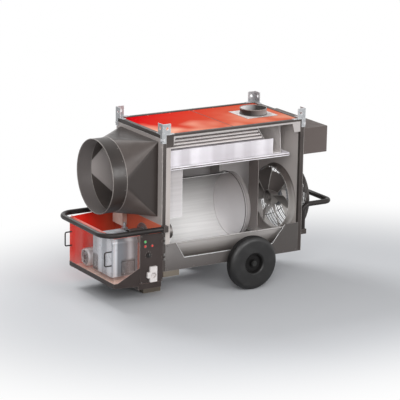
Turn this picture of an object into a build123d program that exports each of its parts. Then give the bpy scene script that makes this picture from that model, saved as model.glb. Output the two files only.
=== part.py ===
from build123d import *
import os
from math import asin, cos, degrees, radians, sin, sqrt

# Indirect-fired diesel space heater on two wheels, with its near side opened to view.
# Millimetres. +X points to the fan end, -X to the hot air outlet, +Z up, -Y is the open side.
# The origin is on the floor, under the middle of the whole object.

os.makedirs("parts", exist_ok=True)


def save(piece, name):
    """Labels a finished piece and writes it to its own file."""
    piece.part.label = name
    export_step(piece.part, f"parts/{name}.step")


# Driving sizes of the casing
casing_length = 1200
casing_width = 674
casing_bottom = 214
casing_top = 1220
rail = 30
rail_wall = 2.5
rail_corner = 3
skin = 2
bumper_reach = 495
handle_reach = 292
touch = 0.3
fit = 0.05

casing_x = (bumper_reach - handle_reach) / 2
front_x = casing_x - casing_length / 2
rear_x = casing_x + casing_length / 2
side_y = casing_width / 2
inner_y = side_y - rail
floor_z = casing_bottom + rail
roof_z = casing_top - rail
post_middle_y = side_y - rail / 2

# Running gear
wheel_d = 400
wheel_width = 92
wheel_gap = 9
axle_before_rear = 469
axle_d = 25
stub_d = 22
tyre_bore_r = 75
tread_round = 34
hub_r = 24
hub_length = 80
hub_inset = 3
dish_depth = 30
nut_height = 11
nut_corner_r = 18.7
axle_x = rear_x - axle_before_rear
axle_z = wheel_d / 2
wheel_in_y = side_y + wheel_gap
wheel_out_y = wheel_in_y + wheel_width
hub_in_y = wheel_in_y + hub_inset
hub_out_y = hub_in_y + hub_length

# Hot air outlet
outlet_z = 888
outlet_side = 550
outlet_r = 272
transition_length = 245
collar_length = 118
duct_wall = 2.5
transition_end_x = front_x - skin - transition_length
collar_end_x = transition_end_x - collar_length

# Fan end
fan_z = 556
fan_ring_r = 250
fan_bell = 20
fan_throat_r = fan_ring_r - fan_bell
fan_ring_depth = 50
fan_gap = 7
blade_count = 6
blade_thickness = 5
motor_r = 72
motor_length = 130
shaft_r = 9.5
hub_disc_r = 58
hub_depth = 62
guard_margin = 38
guard_r = fan_ring_r + guard_margin
guard_depth = 168
guard_wire = 5
guard_spoke = 4
guard_rings = 12
guard_spokes = 8
blade_x = rear_x - 54

# Fire side
chamber_r = 244
chamber_z = 544
plate = 3
chamber_front_x = casing_x - 380
chamber_rear_x = casing_x + 185
smoke_box_depth = 150
tray_z = 945
tray_front_x = casing_x - 520
tray_rear_x = casing_x + 507
tray_half = 300
tray_rim = 22
duct_half = 200
duct_top_z = 1062
tube_height = 14
tube_pitch = 25
tube_count = 5
rear_box_front_x = casing_x + 345
flue_x = casing_x + 370
flue_d = 200
flue_rise = 42
shroud_half = 318
shroud_flat_half = 225
shroud_top_z = 415
shroud_bottom_z = 268

# Burner compartment
bay_length = 388
bay_bottom = 143
bay_well_bottom = 107
bay_well_length = 184
bay_top = 513
sill_height = 35
bay_front_x = front_x - bay_length
burner_y = -75
burner_z = 430
blast_r = 55
blast_gap = 2
door_width = 185
door_bottom = 150
door_top = 511
door_x = front_x + 8 - door_width
hinge_x = front_x + 16
hinge_y = -side_y - 5.5
knuckle_r = 5
pin_r = 3
knob_r = 17

# Tubes to push and steer by
tube_r = 19
tube_wall = 2.5
bumper_z = 540
bumper_gap = 2
bumper_y = side_y + tube_r + bumper_gap
bumper_bend = 110
handle_z = 560
handle_low_z = 342
handle_bend = 58
handle_y = post_middle_y

# Base frame: two long rails, three cross rails and the plates that carry the axle
axle_plate = 8
axle_plate_half = 60
axle_ear_r = 26
with BuildPart() as base_rails:
    with BuildSketch(Plane.YZ.offset(front_x + rail)):
        with Locations((-post_middle_y, floor_z - rail / 2), (post_middle_y, floor_z - rail / 2)):
            RectangleRounded(rail, rail, rail_corner)
            Rectangle(rail - 2 * rail_wall, rail - 2 * rail_wall, mode=Mode.SUBTRACT)
    extrude(amount=casing_length - 2 * rail)
    with BuildSketch(Plane.XZ.offset(inner_y - touch)):
        with Locations(
            (front_x + rail / 2, floor_z - rail / 2),
            (axle_x, floor_z - rail / 2),
            (rear_x - rail / 2, floor_z - rail / 2),
        ):
            RectangleRounded(rail, rail, rail_corner)
            Rectangle(rail - 2 * rail_wall, rail - 2 * rail_wall, mode=Mode.SUBTRACT)
    extrude(amount=-2 * (inner_y - touch))
    for plate_y in (inner_y - touch, -inner_y + touch + axle_plate):
        with BuildSketch(Plane.XZ.offset(-plate_y)):
            with BuildLine():
                Polyline(
                    (axle_x - axle_ear_r, axle_z),
                    (axle_x - axle_plate_half, casing_bottom),
                    (axle_x - axle_plate_half, floor_z),
                    (axle_x - rail / 2 - touch, floor_z),
                    (axle_x - rail / 2 - touch, casing_bottom - touch),
                    (axle_x + rail / 2 + touch, casing_bottom - touch),
                    (axle_x + rail / 2 + touch, floor_z),
                    (axle_x + axle_plate_half, floor_z),
                    (axle_x + axle_plate_half, casing_bottom),
                    (axle_x + axle_ear_r, axle_z),
                )
                ThreePointArc(
                    (axle_x + axle_ear_r, axle_z),
                    (axle_x, axle_z - axle_ear_r),
                    (axle_x - axle_ear_r, axle_z),
                )
            make_face()
            with Locations((axle_x, axle_z)):
                Circle(axle_d / 2 + fit, mode=Mode.SUBTRACT)
        extrude(amount=axle_plate)
save(base_rails, "base_rails")

# Corner posts, closed at the top and open below
with BuildPart() as corner_posts:
    with BuildSketch(Plane.XY.offset(casing_bottom)):
        with GridLocations(casing_length - rail, 2 * post_middle_y, 2, 2):
            with Locations((casing_x, 0)):
                RectangleRounded(rail, rail, rail_corner)
    extrude(amount=casing_top - casing_bottom)
    with BuildSketch(Plane.XY.offset(casing_bottom)):
        with GridLocations(casing_length - rail, 2 * post_middle_y, 2, 2):
            with Locations((casing_x, 0)):
                Rectangle(rail - 2 * rail_wall, rail - 2 * rail_wall)
    extrude(amount=casing_top - casing_bottom - rail_wall, mode=Mode.SUBTRACT)
save(corner_posts, "corner_posts")

# Top frame: two long rails, two cross rails and a gusset in each upper corner
gusset_width = 72
gusset_foot = 54
gusset_drop = 64
gusset_plate = skin - touch
with BuildPart() as top_rails:
    with BuildSketch(Plane.YZ.offset(front_x + rail)):
        with Locations((-post_middle_y, roof_z + rail / 2), (post_middle_y, roof_z + rail / 2)):
            RectangleRounded(rail, rail, rail_corner)
            Rectangle(rail - 2 * rail_wall, rail - 2 * rail_wall, mode=Mode.SUBTRACT)
    extrude(amount=casing_length - 2 * rail)
    with BuildSketch(Plane.XZ.offset(inner_y)):
        with Locations(
            (front_x + rail / 2, roof_z + rail / 2), (rear_x - rail / 2, roof_z + rail / 2)
        ):
            RectangleRounded(rail, rail, rail_corner)
            Rectangle(rail - 2 * rail_wall, rail - 2 * rail_wall, mode=Mode.SUBTRACT)
    extrude(amount=-2 * inner_y)
    for end, side in ((-1, -1), (-1, 1), (1, -1), (1, 1)):
        post_x = casing_x + end * (casing_length / 2 - rail - touch)
        with BuildSketch(Plane.XZ.offset(-side * side_y)):
            with BuildLine():
                Polyline(
                    (post_x, roof_z + rail / 2),
                    (post_x - end * gusset_width, roof_z + rail / 2),
                    (post_x - end * gusset_width, roof_z),
                    (post_x - end * gusset_foot, roof_z - gusset_drop),
                    (post_x, roof_z - gusset_drop),
                    close=True,
                )
            make_face()
        extrude(amount=side * gusset_plate)
save(top_rails, "top_rails")

# Lifting lugs: folded corner plates with an eye in each leaf and two feet on the rails
lug_plate = 5
lug_head = 62
lug_leg = 26
lug_foot = 95
lug_foot_plate = 4
lug_rise = 80
lug_drop = 60
eye_r = 11
eye_inset = 34
eye_z = casing_top + 46
with BuildPart() as lifting_lugs:
    for end, side in ((-1, -1), (-1, 1), (1, -1), (1, 1)):
        corner_x = casing_x + end * (casing_length / 2 + skin)
        corner_y = side * side_y
        for across in (True, False):
            start = corner_y if across else corner_x
            inwards = -side if across else -end
            leaf_plane = Plane.YZ.offset(corner_x) if across else Plane.XZ.offset(-corner_y)
            out = end * lug_plate if across else -side * lug_plate
            with BuildSketch(leaf_plane):
                with BuildLine():
                    Polyline(
                        (start, casing_top - lug_drop),
                        (start + inwards * lug_leg, casing_top - lug_drop),
                        (start + inwards * lug_leg, casing_top),
                        (start + inwards * lug_head, casing_top),
                        (start + inwards * lug_head, casing_top + lug_rise),
                        (start, casing_top + lug_rise),
                        close=True,
                    )
                make_face()
                with Locations((start + inwards * eye_inset, eye_z)):
                    Circle(eye_r, mode=Mode.SUBTRACT)
            extrude(amount=out)
        with BuildSketch(Plane.XY.offset(casing_top - lug_drop)):
            with Locations((corner_x + end * lug_plate / 2, corner_y + side * lug_plate / 2)):
                Rectangle(lug_plate, lug_plate)
        extrude(amount=lug_drop + lug_rise)
        with BuildSketch(Plane.XY.offset(casing_top)):
            with BuildLine():
                Polyline(
                    (corner_x, corner_y),
                    (corner_x - end * lug_foot, corner_y),
                    (corner_x - end * lug_foot, corner_y - side * lug_leg),
                    (corner_x - end * lug_leg, corner_y - side * lug_leg),
                    (corner_x - end * lug_leg, corner_y - side * lug_foot),
                    (corner_x, corner_y - side * lug_foot),
                    close=True,
                )
            make_face()
        extrude(amount=lug_foot_plate)
save(lifting_lugs, "lifting_lugs")

# Axle with a turned-down stub at each end
with BuildPart() as axle:
    with BuildSketch(Plane.XZ):
        with Locations((axle_x, axle_z)):
            Circle(axle_d / 2)
    extrude(amount=hub_in_y - touch, both=True)
    with BuildSketch(Plane.XZ):
        with Locations((axle_x, axle_z)):
            Circle(stub_d / 2)
    extrude(amount=hub_out_y + touch + nut_height, both=True)
save(axle, "axle")

# Axle nuts: a washer and a hexagon nut outside each hub
washer_height = 3
with BuildPart() as axle_nuts:
    for side in (-1, 1):
        seat = Plane.XZ.offset(-side * (hub_out_y + touch))
        with BuildSketch(seat):
            with Locations((axle_x, axle_z)):
                Circle(stub_d)
                Circle(stub_d / 2 + fit, mode=Mode.SUBTRACT)
        extrude(amount=-side * washer_height)
        with BuildSketch(seat):
            with Locations((axle_x, axle_z)):
                RegularPolygon(nut_corner_r, 6)
                Circle(stub_d / 2 + fit, mode=Mode.SUBTRACT)
        extrude(amount=-side * nut_height)
save(axle_nuts, "axle_nuts")

# Wheels: a solid tyre on a dished rim with a plain bore
groove_depth = 4
groove_width = 5
groove_step = 13
tyre_heel = 8
rim_wall = 4
rim_inset = 6
rim_roll = 2
web_rise = 14
for name, side in (("near", -1), ("far", 1)):
    middle = side * (wheel_in_y + wheel_out_y) / 2
    axis = Axis((axle_x, 0, axle_z), (0, 1, 0))
    with BuildPart() as tyre:
        with BuildSketch(Plane.YZ.offset(axle_x)) as tyre_section:
            with Locations((middle, axle_z + (tyre_bore_r + wheel_d / 2) / 2)):
                Rectangle(wheel_width, wheel_d / 2 - tyre_bore_r)
            fillet(tyre_section.vertices().group_by(Axis.Y)[-1], tread_round)
            chamfer(tyre_section.vertices().group_by(Axis.Y)[0], tyre_heel)
            with Locations(
                (middle, axle_z + wheel_d / 2),
                (middle - groove_step, axle_z + wheel_d / 2),
                (middle + groove_step, axle_z + wheel_d / 2),
            ):
                Rectangle(groove_width, 2 * groove_depth, mode=Mode.SUBTRACT)
        revolve(axis=axis)
    save(tyre, f"{name}_tyre")
    out = side * (wheel_out_y - rim_inset)
    web = side * (wheel_out_y - dish_depth)
    back = side * (wheel_in_y + rim_inset)
    seat_r = tyre_bore_r - fit
    well_r = tyre_bore_r - rim_wall
    with BuildPart() as rim:
        with BuildSketch(Plane.YZ.offset(axle_x)):
            with BuildLine():
                Polyline(
                    (side * hub_in_y, axle_z + stub_d / 2 + fit),
                    (side * hub_out_y, axle_z + stub_d / 2 + fit),
                    (side * hub_out_y, axle_z + hub_r),
                    (web, axle_z + hub_r + rim_wall),
                    (web, axle_z + tyre_bore_r - web_rise),
                    (out - side * rim_wall, axle_z + well_r - rim_roll),
                    (out, axle_z + well_r),
                    (out, axle_z + seat_r),
                    (back, axle_z + seat_r),
                    (back, axle_z + well_r),
                    (web - side * rim_wall * 3, axle_z + well_r),
                    (web - side * rim_wall, axle_z + well_r - web_rise),
                    (web - side * rim_wall, axle_z + hub_r),
                    (side * hub_in_y, axle_z + hub_r),
                    close=True,
                )
            make_face()
        revolve(axis=axis)
    save(rim, f"{name}_rim")

# Cross beam under the front of the casing, open at the top, that the feet hang from
beam_width = 135
beam_height = 42
beam_setback = 15
beam_corner = 4
beam_x = front_x + beam_setback + beam_width / 2
beam_bottom = casing_bottom - beam_height
with BuildPart() as foot_beam:
    with BuildSketch(Plane.XY.offset(beam_bottom)):
        with Locations((beam_x, 0)):
            RectangleRounded(beam_width, casing_width, beam_corner)
    extrude(amount=beam_height)
    with BuildSketch(Plane.XY.offset(beam_bottom + plate)):
        with Locations((beam_x, 0)):
            Rectangle(beam_width - 2 * plate, casing_width - 2 * plate)
    extrude(amount=beam_height - plate, mode=Mode.SUBTRACT)
save(foot_beam, "foot_beam")

# Front feet: folded legs with a sole that runs forward, open at the back
foot_y = 100
foot_width = 60
foot_toe_x = front_x - 28
foot_heel_x = front_x + 115
foot_shin_x = front_x + 20
foot_shin_z = beam_bottom - 75
foot_toe_z = 45
foot_fold = 3
foot_wall = 4
with BuildPart() as front_feet:
    for side in (-1, 1):
        with BuildSketch(Plane.XZ.offset(-side * foot_y + foot_width / 2)):
            with BuildLine():
                Polyline(
                    (foot_toe_x, 0),
                    (foot_heel_x, 0),
                    (foot_heel_x, beam_bottom),
                    (foot_shin_x, beam_bottom),
                    (foot_shin_x, foot_shin_z),
                    (foot_toe_x, foot_toe_z),
                    close=True,
                )
            make_face()
        extrude(amount=-foot_width)
        with BuildSketch(Plane.XZ.offset(-side * foot_y + foot_width / 2 - foot_wall)):
            with BuildLine():
                Polyline(
                    (foot_toe_x + foot_wall, foot_wall),
                    (foot_heel_x, foot_wall),
                    (foot_heel_x, beam_bottom - foot_wall),
                    (foot_shin_x + foot_wall, beam_bottom - foot_wall),
                    (foot_shin_x + foot_wall, foot_shin_z - foot_fold),
                    (foot_toe_x + foot_wall, foot_toe_z - foot_fold),
                    close=True,
                )
            make_face()
        extrude(amount=-foot_width + 2 * foot_wall, mode=Mode.SUBTRACT)
save(front_feet, "front_feet")

# Front bumper: one bent tube round the burner compartment
bumper_hold = 26
bumper_start_x = front_x + bumper_hold
bumper_front_x = front_x - bumper_reach + tube_r
with BuildPart() as front_bumper:
    with BuildLine():
        FilletPolyline(
            (bumper_start_x, -bumper_y, bumper_z),
            (bumper_front_x, -bumper_y, bumper_z),
            (bumper_front_x, bumper_y, bumper_z),
            (bumper_start_x, bumper_y, bumper_z),
            radius=bumper_bend,
        )
    with BuildSketch(Plane.YZ.offset(bumper_start_x)):
        with Locations((-bumper_y, bumper_z)):
            Circle(tube_r)
            Circle(tube_r - tube_wall, mode=Mode.SUBTRACT)
    sweep()
save(front_bumper, "front_bumper")

# Rear handle: one bent tube that rises from the rear posts and runs out behind the guard
handle_x = rear_x + skin + tube_r + touch
handle_tip_x = rear_x + handle_reach - tube_r
with BuildPart() as rear_handle:
    with BuildLine():
        FilletPolyline(
            (handle_x, -handle_y, handle_low_z),
            (handle_x, -handle_y, handle_z),
            (handle_tip_x, -handle_y, handle_z),
            (handle_tip_x, handle_y, handle_z),
            (handle_x, handle_y, handle_z),
            (handle_x, handle_y, handle_low_z),
            radius=handle_bend,
        )
    with BuildSketch(Plane.XY.offset(handle_low_z)):
        with Locations((handle_x, -handle_y)):
            Circle(tube_r)
            Circle(tube_r - tube_wall, mode=Mode.SUBTRACT)
    sweep()
save(rear_handle, "rear_handle")

# Tube sockets: blind cups that hold the ends of the bumper and of the handle
socket_wall = 3
socket_hold = 34
stop_width = 1
socket_y = bumper_y + (socket_wall - bumper_gap) / 2
socket_width = 2 * tube_r + socket_wall + bumper_gap
socket_height = 2 * tube_r + 2 * socket_wall
socket_left_x = rear_x + skin
socket_right_x = handle_x + tube_r + socket_wall
with BuildPart() as tube_sockets:
    for side in (-1, 1):
        with BuildSketch(Plane.YZ.offset(bumper_start_x - socket_hold)):
            with Locations((side * socket_y, bumper_z)):
                Rectangle(socket_width, socket_height)
            with Locations((side * bumper_y, bumper_z)):
                Circle(tube_r + fit, mode=Mode.SUBTRACT)
        extrude(amount=socket_hold)
        with BuildSketch(Plane.YZ.offset(bumper_start_x + fit)):
            with Locations((side * socket_y, bumper_z)):
                Rectangle(socket_width, socket_height)
        extrude(amount=socket_wall)
        with BuildSketch(Plane.YZ.offset(bumper_start_x)):
            with Locations((side * socket_y, bumper_z)):
                Rectangle(socket_width, socket_height)
            with Locations((side * bumper_y, bumper_z)):
                Circle(tube_r - stop_width, mode=Mode.SUBTRACT)
        extrude(amount=fit)
        with BuildSketch(Plane.XY.offset(handle_low_z)):
            with Locations(((socket_left_x + socket_right_x) / 2, side * handle_y)):
                Rectangle(socket_right_x - socket_left_x, socket_height)
            with Locations((handle_x, side * handle_y)):
                Circle(tube_r + fit, mode=Mode.SUBTRACT)
        extrude(amount=socket_hold)
        with BuildSketch(Plane.XY.offset(handle_low_z - fit)):
            with Locations(((socket_left_x + socket_right_x) / 2, side * handle_y)):
                Rectangle(socket_right_x - socket_left_x, socket_height)
        extrude(amount=-socket_wall)
        with BuildSketch(Plane.XY.offset(handle_low_z - fit)):
            with Locations(((socket_left_x + socket_right_x) / 2, side * handle_y)):
                Rectangle(socket_right_x - socket_left_x, socket_height)
            with Locations((handle_x, side * handle_y)):
                Circle(tube_r - stop_width, mode=Mode.SUBTRACT)
        extrude(amount=fit)
save(tube_sockets, "tube_sockets")

# Floor pan on the base frame
with BuildPart() as floor_pan:
    with BuildSketch(Plane.XY.offset(floor_z)):
        with Locations((casing_x, 0)):
            Rectangle(casing_length, casing_width)
            with GridLocations(casing_length - rail, 2 * post_middle_y, 2, 2):
                Rectangle(rail + 2 * touch, rail + 2 * touch, mode=Mode.SUBTRACT)
    extrude(amount=skin)
save(floor_pan, "floor_pan")

# Front wall: an outer skin with the outlet and burner holes, and the return beside the open bay
return_width = 36
return_lip = 12
return_y = -side_y + skin
return_end_x = front_x + rail + return_width
flange_lip = 18
hole_side = outlet_side - 2 * flange_lip
with BuildPart() as front_wall:
    with BuildSketch(Plane.YZ.offset(front_x - skin)):
        with Locations((0, (casing_bottom + roof_z) / 2)):
            Rectangle(casing_width, roof_z - casing_bottom)
        with Locations((0, outlet_z)):
            Rectangle(hole_side, hole_side, mode=Mode.SUBTRACT)
        with Locations((burner_y, burner_z)):
            Circle(blast_r + blast_gap, mode=Mode.SUBTRACT)
    extrude(amount=skin)
    with BuildSketch(Plane.XY.offset(shroud_top_z)):
        with BuildLine():
            Polyline(
                (front_x + rail, return_y),
                (return_end_x, return_y),
                (return_end_x, return_y + return_lip),
                (return_end_x - skin, return_y + return_lip),
                (return_end_x - skin, return_y + skin),
                (front_x + rail, return_y + skin),
                close=True,
            )
        make_face()
    extrude(amount=roof_z - shroud_top_z)
save(front_wall, "front_wall")

# Rear wall with the hole for the fan ring
with BuildPart() as rear_wall:
    with BuildSketch(Plane.YZ.offset(rear_x)):
        with Locations((0, (casing_bottom + roof_z) / 2)):
            Rectangle(casing_width, roof_z - casing_bottom)
        with Locations((0, fan_z)):
            Circle(fan_ring_r + duct_wall + touch, mode=Mode.SUBTRACT)
    extrude(amount=skin)
save(rear_wall, "rear_wall")

# Far side panel, proud of the posts' faces by its own thickness, with two pressed ribs
rib_heights = (560, 860)
rib_inset = 100
rib_width = 26
rib_rise = 2
rib_taper = 40
with BuildPart() as far_side_panel:
    with BuildSketch(Plane.XZ.offset(-side_y)):
        with Locations((casing_x, (casing_bottom + roof_z) / 2)):
            Rectangle(casing_length - 2 * rail, roof_z - casing_bottom)
    extrude(amount=-skin)
    with BuildSketch(Plane.XZ.offset(-side_y - skin)):
        with Locations(*[(casing_x, height) for height in rib_heights]):
            SlotOverall(casing_length - 2 * rib_inset, rib_width)
    extrude(amount=-rib_rise, taper=rib_taper)
save(far_side_panel, "far_side_panel")

# Near skirt: what is left of the near side panel below the open bay
notch_low_z = 300
skirt_front_z = shroud_top_z + 1
skirt_rear_z = 435
notch_front_top_x = casing_x - 482
notch_front_low_x = casing_x - 413
notch_rear_low_x = casing_x + 344
notch_rear_top_x = casing_x + 455
with BuildPart() as near_skirt:
    with BuildSketch(Plane.XZ.offset(side_y)):
        with BuildLine():
            Polyline(
                (front_x + rail, casing_bottom),
                (rear_x - rail, casing_bottom),
                (rear_x - rail, skirt_rear_z),
                (notch_rear_top_x, skirt_rear_z),
                (notch_rear_low_x, notch_low_z),
                (notch_front_low_x, notch_low_z),
                (notch_front_top_x, skirt_front_z),
                (front_x + rail, skirt_front_z),
                close=True,
            )
        make_face()
    extrude(amount=skin)
save(near_skirt, "near_skirt")

# Two top panels between the rails, with a folded edge below
seam_x = casing_x + 10
panel_drop = 6
panel_fold = 16
flue_gap = 3
panel_width = 2 * inner_y - 2 * touch
with BuildPart() as top_panels:
    for start_x, end_x in ((front_x + rail, seam_x), (seam_x, rear_x - rail)):
        panel_length = end_x - start_x - 2 * touch
        with BuildSketch(Plane.XY.offset(casing_top - panel_drop)):
            with Locations(((start_x + end_x) / 2, 0)):
                Rectangle(panel_length, panel_width)
                if end_x > flue_x:
                    with Locations((flue_x - (start_x + end_x) / 2, 0)):
                        Circle(flue_d / 2 + flue_gap, mode=Mode.SUBTRACT)
        extrude(amount=-skin)
        with BuildSketch(Plane.XY.offset(casing_top - panel_drop - skin)):
            with Locations(((start_x + end_x) / 2, 0)):
                Rectangle(panel_length, panel_width)
                Rectangle(panel_length - 2 * skin, panel_width - 2 * skin, mode=Mode.SUBTRACT)
        extrude(amount=-panel_fold)
save(top_panels, "top_panels")

# Flue plate that seals the flue collar to the roof
flue_plate_side = 270
flue_plate_corner = 6
collar_neck_r = flue_d / 2 - 0.8
plate_top_z = casing_top - panel_drop + skin
with BuildPart() as flue_plate:
    with BuildSketch(Plane.XY.offset(casing_top - panel_drop)):
        with Locations((flue_x, 0)):
            RectangleRounded(flue_plate_side, flue_plate_side, flue_plate_corner)
            Circle(collar_neck_r + fit, mode=Mode.SUBTRACT)
    extrude(amount=skin)
save(flue_plate, "flue_plate")

# Flue collar: takes the flue pipe over its upper part, which rests on the plate by a shoulder
collar_tuck = 6
collar_low_z = roof_z - collar_tuck
with BuildPart() as flue_collar:
    with BuildSketch(Plane.XY.offset(collar_low_z)):
        with Locations((flue_x, 0)):
            Circle(collar_neck_r)
    extrude(amount=plate_top_z + touch - collar_low_z)
    with BuildSketch(Plane.XY.offset(plate_top_z + touch)):
        with Locations((flue_x, 0)):
            Circle(flue_d / 2)
    extrude(amount=casing_top + flue_rise - plate_top_z - touch)
    with BuildSketch(Plane.XY.offset(collar_low_z)):
        with Locations((flue_x, 0)):
            Circle(flue_d / 2 - skin)
    extrude(amount=casing_top + flue_rise - collar_low_z, mode=Mode.SUBTRACT)
save(flue_collar, "flue_collar")

# Lower shroud: a trough of folded sheet that guides the air under the chamber
shroud_setback = 4
shroud_rim_y = side_y - 3
shroud_front_x = front_x + rail + shroud_setback
shroud_rear_x = casing_x + 455
fold_allowance = 1
with BuildPart() as lower_shroud:
    with BuildSketch(Plane.YZ.offset(shroud_front_x)):
        with BuildLine():
            Polyline(
                (-shroud_rim_y, shroud_top_z),
                (-shroud_half, shroud_top_z),
                (-shroud_flat_half, shroud_bottom_z),
                (shroud_flat_half, shroud_bottom_z),
                (shroud_half, shroud_top_z),
                (shroud_rim_y, shroud_top_z),
                (shroud_rim_y, shroud_top_z - skin),
                (shroud_half + fold_allowance, shroud_top_z - skin),
                (shroud_flat_half + fold_allowance, shroud_bottom_z - skin),
                (-shroud_flat_half - fold_allowance, shroud_bottom_z - skin),
                (-shroud_half - fold_allowance, shroud_top_z - skin),
                (-shroud_rim_y, shroud_top_z - skin),
                close=True,
            )
        make_face()
    extrude(amount=shroud_rear_x - shroud_front_x)
save(lower_shroud, "lower_shroud")

# Combustion chamber: the far half of the rolled shell, with its two rolled stiffening beads
bead_inset = 60
bead_width = 10
bead_rise = 6
with BuildPart() as combustion_chamber:
    with BuildSketch(Plane.YZ.offset(chamber_front_x)):
        with Locations((0, chamber_z)):
            Circle(chamber_r)
            Circle(chamber_r - plate, mode=Mode.SUBTRACT)
        with Locations((-chamber_r, chamber_z)):
            Rectangle(2 * chamber_r, 3 * chamber_r, mode=Mode.SUBTRACT)
    extrude(amount=chamber_rear_x - chamber_front_x)
    for bead_x in (chamber_front_x + bead_inset, chamber_rear_x - bead_inset):
        with BuildSketch(Plane.YZ.offset(bead_x)):
            with Locations((0, chamber_z)):
                Circle(chamber_r + bead_rise)
                Circle(chamber_r - plate, mode=Mode.SUBTRACT)
            with Locations((-chamber_r, chamber_z)):
                Rectangle(2 * chamber_r, 3 * chamber_r, mode=Mode.SUBTRACT)
        extrude(amount=bead_width)
save(combustion_chamber, "combustion_chamber")

# Chamber rear cap: a dished end pressed towards the fire, with a short rim and a flat seat
cap_rim = 24
cap_dish = 26
cap_seat_x = chamber_rear_x + fit
dish_start_r = chamber_r - plate - touch
dish_outer_r = (dish_start_r**2 + cap_dish**2) / (2 * cap_dish)
dish_inner_r = dish_outer_r - plate
dish_centre_x = cap_seat_x - cap_dish + dish_outer_r
with BuildPart() as chamber_rear_cap:
    with BuildSketch(Plane.XZ):
        with BuildLine():
            outer_angle = degrees(asin(dish_start_r / dish_outer_r))
            inner_angle = degrees(asin((chamber_r - plate) / dish_inner_r))
            outer_arc = CenterArc((dish_centre_x, chamber_z), dish_outer_r, 180, -outer_angle)
            inner_arc = CenterArc((dish_centre_x, chamber_z), dish_inner_r, 180, -inner_angle)
            Line(outer_arc @ 0, inner_arc @ 0)
            Polyline(
                outer_arc @ 1,
                (cap_seat_x, chamber_z + chamber_r),
                (cap_seat_x + cap_rim, chamber_z + chamber_r),
                (cap_seat_x + cap_rim, chamber_z + chamber_r - plate),
                inner_arc @ 1,
            )
        make_face()
    revolve(axis=Axis((0, 0, chamber_z), (1, 0, 0)))
save(chamber_rear_cap, "chamber_rear_cap")

# Chamber supports: two saddles in the shroud, and two uprights that carry the exchanger tray
saddle_half = 150
saddle_start_y = 4
saddle_height = 120
saddle_plate = 5
saddle_front_inset = 120
saddle_rear_inset = 130
upright_gap = 2
upright_flange = 25
upright_inner_y = 205
upright_outer_y = side_y - 4
upright_x = cap_seat_x + cap_rim + upright_gap
with BuildPart() as chamber_supports:
    for saddle_x in (chamber_front_x + saddle_front_inset, chamber_rear_x - saddle_rear_inset):
        with BuildSketch(Plane.YZ.offset(saddle_x)):
            with Locations((saddle_start_y, shroud_bottom_z)):
                Rectangle(saddle_half, saddle_height, align=(Align.MIN, Align.MIN))
            with Locations((0, chamber_z)):
                Circle(chamber_r + touch, mode=Mode.SUBTRACT)
        extrude(amount=saddle_plate)
    for side in (-1, 1):
        with BuildSketch(Plane.XY.offset(shroud_top_z)):
            with BuildLine():
                Polyline(
                    (upright_x, side * upright_outer_y),
                    (upright_x, side * upright_inner_y),
                    (upright_x + upright_flange, side * upright_inner_y),
                    (upright_x + upright_flange, side * (upright_inner_y + plate)),
                    (upright_x + plate, side * (upright_inner_y + plate)),
                    (upright_x + plate, side * upright_outer_y),
                    close=True,
                )
            make_face()
        extrude(amount=tray_z - shroud_top_z)
save(chamber_supports, "chamber_supports")

# Front smoke box: turns the flue gas up from the chamber into the exchanger
box_front_x = chamber_front_x - smoke_box_depth
near_wall_z = 575
with BuildPart() as front_smoke_box:
    with BuildSketch(Plane.YZ.offset(box_front_x)) as box_outline:
        with Locations((0, chamber_z)):
            Circle(chamber_r)
        with Locations((0, (chamber_z + tray_z) / 2)):
            Rectangle(2 * chamber_r, tray_z - chamber_z)
    extrude(amount=smoke_box_depth - fit)
    with BuildSketch(Plane.YZ.offset(box_front_x + plate)):
        with Locations((0, chamber_z)):
            Circle(chamber_r - plate)
        with Locations((0, (chamber_z + tray_z) / 2)):
            Rectangle(2 * (chamber_r - plate), tray_z - chamber_z)
    extrude(amount=smoke_box_depth, mode=Mode.SUBTRACT)
    with BuildSketch(Plane.YZ.offset(box_front_x + plate)):
        with Locations((0, near_wall_z)):
            Rectangle(2 * chamber_r, 2 * chamber_r, align=(Align.MAX, Align.MAX))
    extrude(amount=smoke_box_depth, mode=Mode.SUBTRACT)
    with BuildSketch(Plane.YZ.offset(box_front_x)):
        with Locations((burner_y, burner_z)):
            Circle(blast_r + blast_gap / 2)
    extrude(amount=plate, mode=Mode.SUBTRACT)
save(front_smoke_box, "front_smoke_box")

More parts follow.
